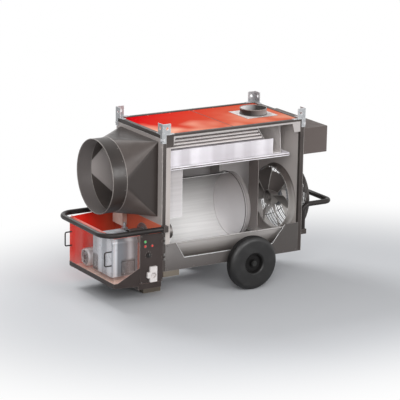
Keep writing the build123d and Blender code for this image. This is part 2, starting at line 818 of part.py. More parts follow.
# Exchanger tray and the long gas duct on it, whose near wall runs on past the rear smoke box's edge
tray_corner = 12
baffle_drop = 16
passage_length = smoke_box_depth - 20
passage_width = 2 * duct_half - 40
duct_foot_z = tray_z + plate / 3
duct_near_y = duct_half + touch + plate
duct_near_end_x = casing_x + 420
with BuildPart() as exchanger_box:
    with BuildSketch(Plane.XY.offset(tray_z)):
        with Locations(((tray_front_x + tray_rear_x) / 2, 0)):
            RectangleRounded(tray_rear_x - tray_front_x, 2 * tray_half, tray_corner)
    extrude(amount=tray_rim)
    with BuildSketch(Plane.XY.offset(tray_z + plate)):
        with Locations(((tray_front_x + tray_rear_x) / 2, 0)):
            RectangleRounded(
                tray_rear_x - tray_front_x - 2 * plate, 2 * (tray_half - plate), tray_corner - plate
            )
    extrude(amount=tray_rim, mode=Mode.SUBTRACT)
    with BuildSketch(Plane.YZ.offset(tray_front_x + plate)):
        with BuildLine():
            Polyline(
                (duct_half, duct_foot_z),
                (duct_half, duct_top_z),
                (-duct_near_y, duct_top_z),
                (-duct_near_y, duct_top_z - plate),
                (duct_half - plate, duct_top_z - plate),
                (duct_half - plate, duct_foot_z),
                close=True,
            )
        make_face()
    extrude(amount=rear_box_front_x - tray_front_x - plate)
    with BuildSketch(Plane.XZ.offset(duct_half + touch)):
        with Locations((tray_front_x + plate, duct_foot_z)):
            Rectangle(
                duct_near_end_x - tray_front_x - plate,
                duct_top_z - duct_foot_z,
                align=(Align.MIN, Align.MIN),
            )
    extrude(amount=plate)
    with BuildSketch(Plane.YZ.offset(tray_front_x + plate)):
        with Locations((0, tray_z)):
            Rectangle(2 * duct_half, roof_z - baffle_drop - tray_z, align=(Align.CENTER, Align.MIN))
    extrude(amount=plate)
    with BuildSketch(Plane.XY.offset(tray_z)):
        with Locations((chamber_front_x - smoke_box_depth / 2 + plate, 0)):
            Rectangle(passage_length, passage_width)
    extrude(amount=plate, mode=Mode.SUBTRACT)
save(exchanger_box, "exchanger_box")

# Rear smoke box: a tapering duct from the exchanger up to the flue, open to the near side
flue_margin = 8
box_setback = 14
slant_top_x = flue_x - flue_d / 2 - flue_margin
box_back_top_x = flue_x + flue_d / 2 + flue_margin
box_back_x = tray_rear_x - box_setback
box_base_z = tray_z + plate + touch
with BuildPart() as rear_smoke_box:
    with BuildSketch(Plane.XZ.offset(duct_half)) as rear_outline:
        with BuildLine():
            Polyline(
                (rear_box_front_x + touch, box_base_z),
                (rear_box_front_x + touch, duct_top_z),
                (slant_top_x, collar_low_z - touch),
                (box_back_top_x, collar_low_z - touch),
                (box_back_x, box_base_z),
                close=True,
            )
        make_face()
    extrude(amount=-2 * duct_half)
    with BuildSketch(Plane.XZ.offset(duct_half)):
        with BuildLine():
            Polyline(
                (rear_box_front_x + touch - plate, box_base_z + plate),
                (rear_box_front_x + touch - plate, duct_top_z - plate),
                (rear_box_front_x + touch + plate, duct_top_z - plate),
                (slant_top_x + 2 * plate, collar_low_z - touch - plate),
                (box_back_top_x - plate, collar_low_z - touch - plate),
                (box_back_x - plate, box_base_z + plate),
                close=True,
            )
        make_face()
    extrude(amount=-2 * duct_half + plate, mode=Mode.SUBTRACT)
    with BuildSketch(Plane.XY.offset(collar_low_z - touch - 2 * plate)):
        with Locations((flue_x, 0)):
            Circle(flue_d / 2 - skin)
    extrude(amount=4 * plate, mode=Mode.SUBTRACT)
save(rear_smoke_box, "rear_smoke_box")

# Flat exchanger tubes above the duct, each cut off along the rear smoke box's slant
tube_front_x = tray_front_x + 2 * plate + touch
tube_lift = 12
tube_wall_gap = 4
flat_wall = 2.5
slant_run = (rear_box_front_x - slant_top_x) / (collar_low_z - duct_top_z)
with BuildPart() as flat_tubes:
    for index in range(tube_count):
        tube_z = duct_top_z + tube_lift + tube_height / 2 + index * tube_pitch
        with BuildSketch(Plane.YZ.offset(tube_front_x)):
            with Locations((0, tube_z)):
                SlotOverall(2 * duct_half, tube_height)
                SlotOverall(
                    2 * (duct_half - flat_wall), tube_height - 2 * flat_wall, mode=Mode.SUBTRACT
                )
        tube_drift = slant_run * (tube_z + tube_height / 2 - duct_top_z)
        extrude(amount=rear_box_front_x - tube_wall_gap - tube_drift - tube_front_x)
save(flat_tubes, "flat_tubes")

# Outlet transition: four flat triangles and four quarter cones from a square to a circle
def square_to_round(half, radius):
    """Returns the solid between a square on the front wall and a circle at the collar."""
    corners = [
        Vector(front_x - skin, y * half, outlet_z + z * half)
        for y, z in ((1, 1), (-1, 1), (-1, -1), (1, -1))
    ]
    round_end = Plane((transition_end_x, 0, outlet_z), x_dir=(0, 1, 0), z_dir=(1, 0, 0))
    arcs = [Edge.make_circle(radius, round_end, turn, turn + 90) for turn in (0, 90, 180, 270)]
    faces = [Face(Wire.make_polygon(corners)), Face(Wire(arcs))]
    for index, arc in enumerate(arcs):
        corner = corners[index]
        next_corner = corners[(index + 1) % 4]
        faces += Shell.make_loft([Wire([arc]), Vertex(*corner)], True).faces()
        faces.append(Face(Wire.make_polygon([corner, next_corner, arc @ 1])))
    return Solid(Shell(faces))


with BuildPart() as outlet_transition:
    add(square_to_round(outlet_side / 2, outlet_r))
    add(square_to_round(outlet_side / 2 - duct_wall, outlet_r - duct_wall), mode=Mode.SUBTRACT)
save(outlet_transition, "outlet_transition")

# Outlet collar: a rolled sleeve that the air duct is pulled over
collar_start_x = transition_end_x - touch
with BuildPart() as outlet_collar:
    with BuildSketch(Plane.YZ.offset(collar_end_x)):
        with Locations((0, outlet_z)):
            Circle(outlet_r)
            Circle(outlet_r - duct_wall, mode=Mode.SUBTRACT)
    extrude(amount=collar_start_x - collar_end_x)
save(outlet_collar, "outlet_collar")

# Fan ring: an inlet nozzle with a bell mouth, a flange on the rear wall and four motor stays
stay_width = 34
stay_plate = 5
ring_flange = 24
ring_lip = 6
flange_edge = 4
clamp_wall = 5
motor_x = rear_x
ring_front_x = rear_x - fan_ring_depth
ring_seat_x = rear_x + skin + touch
bell_x = ring_seat_x + duct_wall - fan_bell
throat_z = fan_z + fan_throat_r
stay_end_r = fan_ring_r + ring_flange - flange_edge
with BuildPart() as fan_ring:
    with BuildSketch(Plane.XZ):
        with BuildLine():
            outer_bell = CenterArc((bell_x, fan_z + fan_ring_r), fan_bell - duct_wall, 270, 90)
            inner_bell = CenterArc((bell_x, fan_z + fan_ring_r), fan_bell, 270, 90)
            Polyline(
                outer_bell @ 0,
                (ring_front_x + duct_wall, throat_z + duct_wall),
                (ring_front_x + duct_wall, throat_z + duct_wall + ring_lip),
                (ring_front_x, throat_z + duct_wall + ring_lip),
                (ring_front_x, throat_z),
                inner_bell @ 0,
            )
            Polyline(
                outer_bell @ 1,
                (ring_seat_x, fan_z + fan_ring_r + ring_flange),
                (ring_seat_x + duct_wall, fan_z + fan_ring_r + ring_flange),
                inner_bell @ 1,
            )
        make_face()
    revolve(axis=Axis((0, 0, fan_z), (1, 0, 0)))
    with BuildSketch(Plane.YZ.offset(ring_seat_x)):
        with Locations((0, fan_z)):
            with PolarLocations((motor_r + stay_end_r) / 2, 4, 45):
                Rectangle(stay_end_r - motor_r, stay_plate)
            Circle(motor_r + clamp_wall)
            Circle(motor_r + fit, mode=Mode.SUBTRACT)
    extrude(amount=stay_width)
save(fan_ring, "fan_ring")

# Fan guard: a basket of rings, closer together at its rim, on arched spokes round a plain disc
guard_seat_x = rear_x + skin + touch + guard_wire / 2
guard_fullness = 3
guard_crowding = 1.5
guard_disc_r = 46


def dome_point(step):
    """Returns the guard's depth line and radius at a step that runs from its rim to its middle."""
    lean = radians(90 * (1 - (step / guard_rings) ** guard_crowding))
    return (
        guard_seat_x + guard_depth * cos(lean) ** (2 / guard_fullness),
        guard_r * sin(lean) ** (2 / guard_fullness),
    )


spoke_tuck = 0.2
spoke_steps = [*range(guard_rings), guard_rings - spoke_tuck]
with BuildPart() as fan_guard:
    for index in range(guard_rings):
        wire_x, wire_r = dome_point(index)
        with BuildSketch(Plane.XZ):
            with Locations((wire_x, fan_z + wire_r)):
                Rectangle(guard_wire, guard_wire)
        revolve(axis=Axis((0, 0, fan_z), (1, 0, 0)))
    with BuildSketch(Plane.YZ.offset(guard_seat_x + guard_depth - guard_wire / 2)):
        with Locations((0, fan_z)):
            Circle(guard_disc_r)
    extrude(amount=guard_wire)
    for index in range(guard_spokes):
        turn = radians(index * 360 / guard_spokes)
        spoke_plane = Plane(
            origin=(0, 0, fan_z), x_dir=(1, 0, 0), z_dir=(0, -sin(turn), cos(turn))
        )
        with BuildLine(spoke_plane) as spoke_line:
            Spline(*[dome_point(step) for step in spoke_steps])
        spoke_start = Plane(
            spoke_line.line @ 0, x_dir=spoke_plane.z_dir, z_dir=spoke_line.line % 0
        )
        with BuildSketch(spoke_start) as spoke_section:
            Rectangle(guard_spoke, guard_spoke)
        sweep(sections=spoke_section.sketch, path=spoke_line.line)
save(fan_guard, "fan_guard")

# Fan motor: a finned drum held by the stays, with an end shield and a terminal box
fin_count = 20
fin_slot = 4
fin_depth = 7
shield_step = 6
shield_inset = 8
shaft_hold = 40
with BuildPart() as fan_motor:
    with BuildSketch(Plane.YZ.offset(motor_x)):
        with Locations((0, fan_z)):
            Circle(motor_r)
            with PolarLocations(motor_r, fin_count):
                Rectangle(fin_depth, fin_slot, mode=Mode.SUBTRACT)
    extrude(amount=motor_length)
    with BuildSketch(Plane.YZ.offset(motor_x - shield_step)):
        with Locations((0, fan_z)):
            Circle(motor_r - shield_inset)
    extrude(amount=motor_length + 2 * shield_step)
    with BuildSketch(Plane.YZ.offset(motor_x - shield_step)):
        with Locations((0, fan_z)):
            Circle(shaft_r + fit)
    extrude(amount=shield_step + shaft_hold + fit, mode=Mode.SUBTRACT)
save(fan_motor, "fan_motor")

# Fan shaft from the motor into the hub
with BuildPart() as fan_shaft:
    with BuildSketch(Plane.YZ.offset(blade_x - hub_depth / 2)):
        with Locations((0, fan_z)):
            Circle(shaft_r)
    extrude(amount=motor_x + shaft_hold - (blade_x - hub_depth / 2))
save(fan_shaft, "fan_shaft")

# Fan impeller: a cupped hub and six cambered blades that twist from root to tip
tip_r = fan_throat_r - fan_gap
hub_wall = 10
hub_floor = 12
root_r = hub_disc_r - hub_wall / 2
blade_reach = 12
camber = 0.09
root_chord = 78
middle_chord = 118
tip_chord = 150
root_pitch = 52
middle_pitch = 36
tip_pitch = 26
with BuildPart() as fan_impeller:
    for index in range(blade_count):
        turn = index * 360 / blade_count
        for radius, chord, pitch in (
            (root_r, root_chord, root_pitch),
            ((root_r + tip_r) / 2, middle_chord, middle_pitch),
            (tip_r + blade_reach, tip_chord, tip_pitch),
        ):
            span = Vector(0, cos(radians(turn)), sin(radians(turn)))
            swing = Vector(0, -sin(radians(turn)), cos(radians(turn)))
            chord_dir = swing * cos(radians(pitch)) + Vector(1, 0, 0) * sin(radians(pitch))
            centre = Vector(blade_x, 0, fan_z) + span * radius
            with BuildSketch(Plane(origin=centre, x_dir=chord_dir, z_dir=span)):
                with BuildLine():
                    crown = chord * camber
                    ThreePointArc((-chord / 2, 0), (0, crown), (chord / 2, 0))
                    ThreePointArc((chord / 2, 0), (0, crown - blade_thickness), (-chord / 2, 0))
                make_face()
        loft()
    with BuildSketch(Plane.YZ.offset(blade_x)):
        with Locations((0, fan_z)):
            Circle(tip_r)
    extrude(amount=tip_r, both=True, mode=Mode.INTERSECT)
    with BuildSketch(Plane.YZ.offset(blade_x - hub_depth / 2)):
        with Locations((0, fan_z)):
            Circle(hub_disc_r)
    extrude(amount=hub_depth)
    with BuildSketch(Plane.YZ.offset(blade_x - hub_depth / 2)):
        with Locations((0, fan_z)):
            Circle(hub_disc_r - hub_wall)
            Circle(shaft_r + hub_wall, mode=Mode.SUBTRACT)
    extrude(amount=hub_depth - hub_floor, mode=Mode.SUBTRACT)
    with BuildSketch(Plane.YZ.offset(blade_x)):
        with Locations((0, fan_z)):
            Circle(shaft_r + fit)
    extrude(amount=hub_depth, both=True, mode=Mode.SUBTRACT)
save(fan_impeller, "fan_impeller")

# Rear box: a closed sheet housing on the rear wall, above the fan
box_depth = 206
box_low_z = 950
box_high_z = 1147
box_edge = 3
with BuildPart() as rear_box:
    with BuildSketch(Plane.YZ.offset(rear_x + skin)):
        with Locations((0, (box_low_z + box_high_z) / 2)):
            Rectangle(casing_width, box_high_z - box_low_z)
    extrude(amount=box_depth)
    chamfer(rear_box.edges().filter_by(Axis.Y).group_by(Axis.X)[-1], box_edge)
    with BuildSketch(Plane.YZ.offset(rear_x + skin)):
        with Locations((0, (box_low_z + box_high_z) / 2)):
            Rectangle(casing_width - 2 * skin, box_high_z - box_low_z - 2 * skin)
    extrude(amount=box_depth - skin, mode=Mode.SUBTRACT)
save(rear_box, "rear_box")

# Compartment tray: one folded sheet, stepped down to a well at the casing
tray_back_x = front_x - 2 * skin - touch
tray_side_y = side_y - skin - touch
well_x = tray_back_x - bay_well_length
with BuildPart() as bay_tray:
    with BuildSketch(Plane.XZ.offset(tray_side_y)):
        with BuildLine():
            Polyline(
                (bay_front_x, bay_bottom + skin),
                (well_x, bay_bottom + skin),
                (well_x, bay_well_bottom + skin),
                (tray_back_x, bay_well_bottom + skin),
                (tray_back_x, bay_well_bottom),
                (well_x - skin, bay_well_bottom),
                (well_x - skin, bay_bottom),
                (bay_front_x, bay_bottom),
                close=True,
            )
        make_face()
    extrude(amount=-2 * tray_side_y)
save(bay_tray, "bay_tray")

# Compartment sill: the dark front strip and the near cheek with its rising edge
door_gap = 2
cheek_rise = 127
cheek_drop = 10
cheek_run = 32
with BuildPart() as bay_sill:
    with BuildSketch(Plane.YZ.offset(bay_front_x)):
        with Locations((0, bay_bottom + sill_height / 2)):
            Rectangle(casing_width, sill_height)
    extrude(amount=-skin)
    with BuildSketch(Plane.XZ.offset(side_y)):
        with BuildLine():
            Polyline(
                (bay_front_x, bay_bottom),
                (well_x - skin, bay_bottom - cheek_drop),
                (well_x - skin, bay_well_bottom),
                (front_x - skin, bay_well_bottom),
                (front_x - skin, door_bottom - door_gap),
                (door_x - door_gap, door_bottom - door_gap),
                (door_x - door_gap, bay_bottom + cheek_rise),
                (bay_front_x + cheek_run, bay_bottom + sill_height),
                (bay_front_x, bay_bottom + sill_height),
                close=True,
            )
        make_face()
    extrude(amount=-skin)
save(bay_sill, "bay_sill")

# Compartment far cheek, higher where it meets the casing
far_cheek_rise = 24
with BuildPart() as bay_far_side:
    with BuildSketch(Plane.XZ.offset(-side_y)):
        with BuildLine():
            Polyline(
                (bay_front_x, bay_bottom),
                (well_x - skin, bay_bottom),
                (well_x - skin, bay_well_bottom),
                (front_x - skin, bay_well_bottom),
                (front_x - skin, bay_top + far_cheek_rise),
                (bay_front_x, bay_top),
                close=True,
            )
        make_face()
    extrude(amount=skin)
save(bay_far_side, "bay_far_side")

# Compartment back plate against the casing's front wall
bay_back_top = 560
with BuildPart() as bay_back:
    with BuildSketch(Plane.YZ.offset(front_x - skin)):
        with Locations((0, (bay_well_bottom + bay_back_top) / 2)):
            Rectangle(2 * tray_side_y, bay_back_top - bay_well_bottom)
        with Locations((burner_y, burner_z)):
            Circle(blast_r + blast_gap, mode=Mode.SUBTRACT)
    extrude(amount=-skin)
save(bay_back, "bay_back")

# Burner cover: the see-through shell in front of the burner, that pulls off forwards
cover_skin = 2
cover_end_x = door_x - door_gap - touch
cover_low_z = bay_bottom + sill_height + touch
cover_front_x = bay_front_x - skin
cover_lip = 26
with BuildPart() as burner_cover:
    with BuildSketch(Plane.YZ.offset(cover_front_x)):
        with Locations((0, (cover_low_z + bay_top) / 2)):
            Rectangle(casing_width - 2 * skin, bay_top - cover_low_z)
    extrude(amount=cover_skin)
    with BuildSketch(Plane.XZ.offset(side_y)):
        with BuildLine():
            Polyline(
                (cover_front_x, cover_low_z),
                (bay_front_x + cheek_run, cover_low_z),
                (cover_end_x, bay_bottom + cheek_rise + touch),
                (cover_end_x, bay_top),
                (cover_front_x, bay_top),
                close=True,
            )
        make_face()
    extrude(amount=-cover_skin)
    with BuildSketch(Plane.XY.offset(bay_top)):
        with BuildLine():
            Polyline(
                (cover_front_x, -side_y),
                (cover_end_x, -side_y),
                (cover_end_x, -side_y + cover_lip),
                (cover_front_x + cover_lip, -side_y + cover_lip),
                (cover_front_x + cover_lip, side_y - 2 * skin),
                (cover_front_x, side_y - 2 * skin),
                close=True,
            )
        make_face()
    extrude(amount=-cover_skin)
save(burner_cover, "burner_cover")

# Two bow handles on the cover's front
bow_r = 5
bow_y = 300
bow_low_z = 306
bow_high_z = 409
bow_reach = 55
bow_bend = 12
with BuildPart() as cover_handles:
    for side in (-1, 1):
        with BuildLine() as bow_path:
            FilletPolyline(
                (cover_front_x, side * bow_y, bow_low_z),
                (cover_front_x - bow_reach, side * bow_y, bow_low_z),
                (cover_front_x - bow_reach, side * bow_y, bow_high_z),
                (cover_front_x, side * bow_y, bow_high_z),
                radius=bow_bend,
            )
        with BuildSketch(Plane.YZ.offset(cover_front_x)) as bow_section:
            with Locations((side * bow_y, bow_low_z)):
                Circle(bow_r)
        sweep(sections=bow_section.sketch, path=bow_path.line)
save(cover_handles, "cover_handles")

# Places of the lamps, the button and the knob on the control door
lamp_r = 8
lamp_rise = 6
lamp_x = door_x + 38
lamp_z = 459
lamp_step = 34
bezel = 2
lens_edge = 3
button_x = lamp_x + 55
button_travel = 4
button_stand = button_travel + 1
stem_r = 5
knob_x = lamp_x + 28
knob_z = 357
spindle_r = 3

# Control door: a folded panel with the moving knuckles of its hinges
door_plate = 2
door_stand = 0.5
door_return = 12
door_corner = 3
return_inset = 4
door_face_y = -side_y - door_stand - door_plate
hinge_heights = (326, 447)
knuckle = 16
leaf_plate = 2
door_leaf = 20
post_leaf = 12
leaf_neck = 4
neck_tuck = 1
with BuildPart() as control_door:
    with BuildSketch(Plane.XZ.offset(side_y + door_stand)):
        with Locations((door_x + door_width / 2, (door_bottom + door_top) / 2)):
            RectangleRounded(door_width, door_top - door_bottom, door_corner)
        with Locations((button_x, lamp_z - lamp_step)):
            Circle(stem_r + 2 * fit, mode=Mode.SUBTRACT)
        with Locations((knob_x, knob_z)):
            Circle(spindle_r + fit, mode=Mode.SUBTRACT)
    extrude(amount=door_plate)
    with BuildSketch(Plane.XY.offset(door_bottom + return_inset)):
        with Locations((door_x, -side_y - door_stand)):
            Rectangle(door_plate, door_return, align=(Align.MIN, Align.MIN))
    extrude(amount=door_top - door_bottom - 2 * return_inset)
    for height in hinge_heights:
        with BuildSketch(Plane.XY.offset(height - knuckle / 2)):
            with Locations((hinge_x, hinge_y)):
                Circle(knuckle_r)
            with Locations((hinge_x, door_face_y)):
                Rectangle(door_leaf, leaf_plate, align=(Align.MAX, Align.MAX))
            with Locations((hinge_x, hinge_y)):
                Circle(pin_r + fit, mode=Mode.SUBTRACT)
        extrude(amount=knuckle)
save(control_door, "control_door")

# Fixed hinge halves on the near front post, with their pins
with BuildPart() as hinge_posts:
    for height in hinge_heights:
        for low in (height - knuckle * 1.5, height + knuckle / 2 + touch):
            with BuildSketch(Plane.XY.offset(low)):
                with Locations((hinge_x, hinge_y)):
                    Circle(knuckle_r)
                with Locations((hinge_x, -side_y)):
                    Rectangle(post_leaf, leaf_plate, align=(Align.MIN, Align.MAX))
                with Locations((hinge_x + neck_tuck, -side_y)):
                    Rectangle(leaf_neck, leaf_neck + neck_tuck, align=(Align.MIN, Align.MAX))
            extrude(amount=knuckle - touch)
        with BuildSketch(Plane.XY.offset(height - knuckle * 1.5)):
            with Locations((hinge_x, hinge_y)):
                Circle(pin_r)
        extrude(amount=3 * knuckle)
save(hinge_posts, "hinge_posts")

# Lamps on the door's face
for name, height in (("green_lamp", lamp_z), ("red_lamp", lamp_z - lamp_step)):
    with BuildPart() as lamp:
        with BuildSketch(Plane.XZ.offset(-door_face_y)):
            with Locations((lamp_x, height)):
                Circle(lamp_r + bezel)
        extrude(amount=bezel)
        with BuildSketch(Plane.XZ.offset(-door_face_y + bezel)):
            with Locations((lamp_x, height)):
                Circle(lamp_r)
        extrude(amount=lamp_rise)
        chamfer(lamp.faces().sort_by(Axis.Y)[0].edges(), lens_edge)
    save(lamp, name)

# Reset button: a mushroom cap whose stem travels in the door
with BuildPart() as reset_button:
    with BuildSketch(Plane.XZ.offset(-door_face_y + button_stand)):
        with Locations((button_x, lamp_z - lamp_step)):
            Circle(lamp_r)
    extrude(amount=lamp_rise)
    chamfer(reset_button.faces().sort_by(Axis.Y)[0].edges(), lens_edge / 2)
    with BuildSketch(Plane.XZ.offset(-door_face_y - door_plate)):
        with Locations((button_x, lamp_z - lamp_step)):
            Circle(stem_r)
    extrude(amount=door_plate + button_stand)
save(reset_button, "reset_button")

# Selector knob with a raised pointer bar, on a spindle through the door
knob_height = 10
knob_taper = 6
bar_height = 7
bar_width = 8
spindle_tail = 4
with BuildPart() as selector_knob:
    with BuildSketch(Plane.XZ.offset(-door_face_y + touch)):
        with Locations((knob_x, knob_z)):
            Circle(knob_r)
    extrude(amount=knob_height, taper=knob_taper)
    with BuildSketch(Plane.XZ.offset(-door_face_y + touch + knob_height)):
        with Locations((knob_x, knob_z)):
            SlotOverall(2 * knob_r - bar_width / 2, bar_width, rotation=90)
    extrude(amount=bar_height)
    with BuildSketch(Plane.XZ.offset(-door_face_y - door_plate - spindle_tail)):
        with Locations((knob_x, knob_z)):
            Circle(spindle_r)
    extrude(amount=door_plate + touch + spindle_tail)
save(selector_knob, "selector_knob")

# Power inlet: a moulded housing with a round socket and its contact pins
inlet_x = door_x + 73
inlet_width = 59
inlet_low_z = 156
inlet_high_z = 271
inlet_depth = 16
inlet_floor = 4
latch_width = 24
latch_height = 44
latch_x = inlet_x - 9
latch_z = 210
inlet_corner = 5
socket_r = 21
socket_z = 205
contact_r = 3
contact_circle_r = 11
contact_length = 10
with BuildPart() as power_inlet:
    with BuildSketch(Plane.XZ.offset(-door_face_y)):
        with Locations((inlet_x + inlet_width / 2, (inlet_low_z + inlet_high_z) / 2)):
            RectangleRounded(inlet_width, inlet_high_z - inlet_low_z, inlet_corner)
        with Locations((latch_x, latch_z)):
            RectangleRounded(latch_width, latch_height, inlet_corner)
    extrude(amount=inlet_depth)
    with BuildSketch(Plane.XZ.offset(-door_face_y + inlet_floor)):
        with Locations((inlet_x + inlet_width / 2, socket_z)):
            Circle(socket_r)
    extrude(amount=inlet_depth, mode=Mode.SUBTRACT)
    with BuildSketch(Plane.XZ.offset(-door_face_y + inlet_floor)):
        with Locations((inlet_x + inlet_width / 2, socket_z)):
            with PolarLocations(contact_circle_r, 3, 90):
                Circle(contact_r)
    extrude(amount=contact_length)
save(power_inlet, "power_inlet")

# Burner housing: a sheet hood with rounded shoulders and louvres in two faces
burner_front_x = bay_front_x + 48
burner_rear_x = burner_front_x + 210
burner_near_y = -215
burner_far_y = 66
burner_low_z = 187
burner_high_z = 465
burner_wall = 2
shoulder_r = 38
side_louvre_height = 82
side_louvre_width = 5
side_louvre_step = 11
side_louvres_x = burner_rear_x - 78
side_louvres_z = burner_low_z + 62
front_louvre_height = 96
front_louvre_width = 4.5
front_louvre_step = 10
front_louvres_y = burner_far_y - 45
front_louvres_z = burner_low_z + 70
burner_mid_y = (burner_near_y + burner_far_y) / 2
with BuildPart() as burner_housing:
    with BuildSketch(Plane.YZ.offset(burner_front_x)) as hood:
        with Locations((burner_mid_y, (burner_low_z + burner_high_z) / 2)):
            Rectangle(burner_far_y - burner_near_y, burner_high_z - burner_low_z)
        fillet(hood.vertices().group_by(Axis.Y)[-1], shoulder_r)
    extrude(amount=burner_rear_x - burner_front_x)
    with BuildSketch(Plane.YZ.offset(burner_front_x + burner_wall)) as hollow:
        with Locations((burner_mid_y, (burner_low_z + burner_high_z) / 2)):
            Rectangle(
                burner_far_y - burner_near_y - 2 * burner_wall,
                burner_high_z - burner_low_z - 2 * burner_wall,
            )
        fillet(hollow.vertices().group_by(Axis.Y)[-1], shoulder_r - burner_wall)
    extrude(amount=burner_rear_x - burner_front_x - 2 * burner_wall, mode=Mode.SUBTRACT)
    with BuildSketch(Plane.XZ.offset(-burner_near_y)):
        with Locations((side_louvres_x, side_louvres_z)):
            with GridLocations(side_louvre_step, 0, 9, 1):
                SlotOverall(side_louvre_height, side_louvre_width, rotation=90)
    extrude(amount=-burner_wall, mode=Mode.SUBTRACT)
    with BuildSketch(Plane.YZ.offset(burner_front_x)):
        with Locations((front_louvres_y, front_louvres_z)):
            with GridLocations(front_louvre_step, 0, 5, 1):
                SlotOverall(front_louvre_height, front_louvre_width, rotation=90)
    extrude(amount=burner_wall, mode=Mode.SUBTRACT)
save(burner_housing, "burner_housing")

# Burner motor beside the housing, on its air scroll, with a slotted end
scroll_y = burner_far_y + touch
motor_y = 207
motor_z = 231
burner_motor_r = 68
burner_motor_length = 110
burner_motor_x = burner_front_x + 10
burner_motor_edge = 8
face_rim = 16
face_hub_r = 20
face_depth = 8
face_rib_length = 40
face_rib_width = 7
scroll_x = burner_front_x + 40
scroll_width = 76
scroll_height = 90
with BuildPart() as burner_motor:
    with BuildSketch(Plane.YZ.offset(burner_motor_x)):
        with Locations((motor_y, motor_z)):
            Circle(burner_motor_r)
    extrude(amount=burner_motor_length)
    chamfer(burner_motor.faces().sort_by(Axis.X)[0].edges(), burner_motor_edge)
    with BuildSketch(Plane.YZ.offset(burner_motor_x)):
        with Locations((motor_y, motor_z)):
            Circle(burner_motor_r - face_rim)
            Circle(face_hub_r, mode=Mode.SUBTRACT)
            with PolarLocations((burner_motor_r - face_rim + face_hub_r) / 2, 6):
                Rectangle(face_rib_length, face_rib_width, mode=Mode.SUBTRACT)
    extrude(amount=face_depth, mode=Mode.SUBTRACT)
    with BuildSketch(Plane.YZ.offset(scroll_x)):
        with Locations(((scroll_y + motor_y) / 2, motor_z)):
            Rectangle(motor_y - scroll_y, scroll_height)
    extrude(amount=scroll_width)
save(burner_motor, "burner_motor")

# Blast tube with its flange on the compartment's back plate
flange_r = 88
flange_plate = 8
flange_bolt_r = 76
flange_hole_r = 5
flange_grip = 1
blast_end_x = casing_x - 385
flange_x = front_x - 2 * skin - touch
with BuildPart() as blast_tube:
    with BuildSketch(Plane.YZ.offset(burner_rear_x + touch)):
        with Locations((burner_y, burner_z)):
            Circle(blast_r)
            Circle(blast_r - plate, mode=Mode.SUBTRACT)
    extrude(amount=blast_end_x - burner_rear_x - touch)
    with BuildSketch(Plane.YZ.offset(flange_x)):
        with Locations((burner_y, burner_z)):
            Circle(flange_r)
            Circle(blast_r - flange_grip, mode=Mode.SUBTRACT)
            with PolarLocations(flange_bolt_r, 4, 45):
                Circle(flange_hole_r, mode=Mode.SUBTRACT)
    extrude(amount=-flange_plate)
save(blast_tube, "blast_tube")

# Burner head: a slotted diffuser disc, its collar, the nozzle line and two electrodes
diffuser_x = blast_end_x - 24
diffuser_hole_r = 14
diffuser_slot_r = 33
diffuser_slot_length = 26
diffuser_slot_width = 4
nozzle_r = 15
nozzle_length = 8
line_r = 8
line_length = 150
line_x = blast_end_x - 160
electrode_r = 3.5
electrode_y = 17
electrode_z = 12
collar_x = blast_end_x - 60
collar_disc_r = 26
collar_disc_length = 12
with BuildPart() as burner_head:
    with BuildSketch(Plane.YZ.offset(diffuser_x)):
        with Locations((burner_y, burner_z)):
            Circle(blast_r - plate - touch)
            Circle(diffuser_hole_r, mode=Mode.SUBTRACT)
            with PolarLocations(diffuser_slot_r, 8):
                SlotOverall(diffuser_slot_length, diffuser_slot_width, mode=Mode.SUBTRACT)
    extrude(amount=plate)
    with BuildSketch(Plane.YZ.offset(line_x)):
        with Locations((burner_y, burner_z)):
            Circle(line_r)
            with Locations((electrode_y, electrode_z), (-electrode_y, electrode_z)):
                Circle(electrode_r)
    extrude(amount=line_length)
    with BuildSketch(Plane.YZ.offset(collar_x)):
        with Locations((burner_y, burner_z)):
            Circle(collar_disc_r)
    extrude(amount=collar_disc_length)
    with BuildSketch(Plane.YZ.offset(diffuser_x)):
        with Locations((burner_y, burner_z)):
            Circle(nozzle_r)
    extrude(amount=nozzle_length)
save(burner_head, "burner_head")

# Fuel pump on the housing's rear face: a round body, a valve block and two unions
pump_y = 38
pump_z = 432
pump_r = 26
pump_length = 62
pump_edge = 4
pump_body_z = pump_z - 20
block_x = burner_rear_x + 34
block_length = 34
block_width = 30
block_height = 58
union_r = 13
union_height = 26
cap_r = 8
cap_height = 12
with BuildPart() as fuel_pump:
    with BuildSketch(Plane.YZ.offset(burner_rear_x + touch)):
        with Locations((pump_y, pump_body_z)):
            Circle(pump_r)
    extrude(amount=pump_length)
    chamfer(fuel_pump.faces().sort_by(Axis.X)[-1].edges(), pump_edge)
    with BuildSketch(Plane.XY.offset(pump_body_z)):
        with Locations((block_x, pump_y)):
            Rectangle(block_length, block_width)
    extrude(amount=block_height)
    with BuildSketch(Plane.XY.offset(pump_body_z + block_height)):
        with Locations((block_x, pump_y)):
            Circle(union_r)
    extrude(amount=union_height)
    with BuildSketch(Plane.XY.offset(pump_body_z + block_height + union_height)):
        with Locations((block_x, pump_y)):
            Circle(cap_r)
    extrude(amount=cap_height)
save(fuel_pump, "fuel_pump")

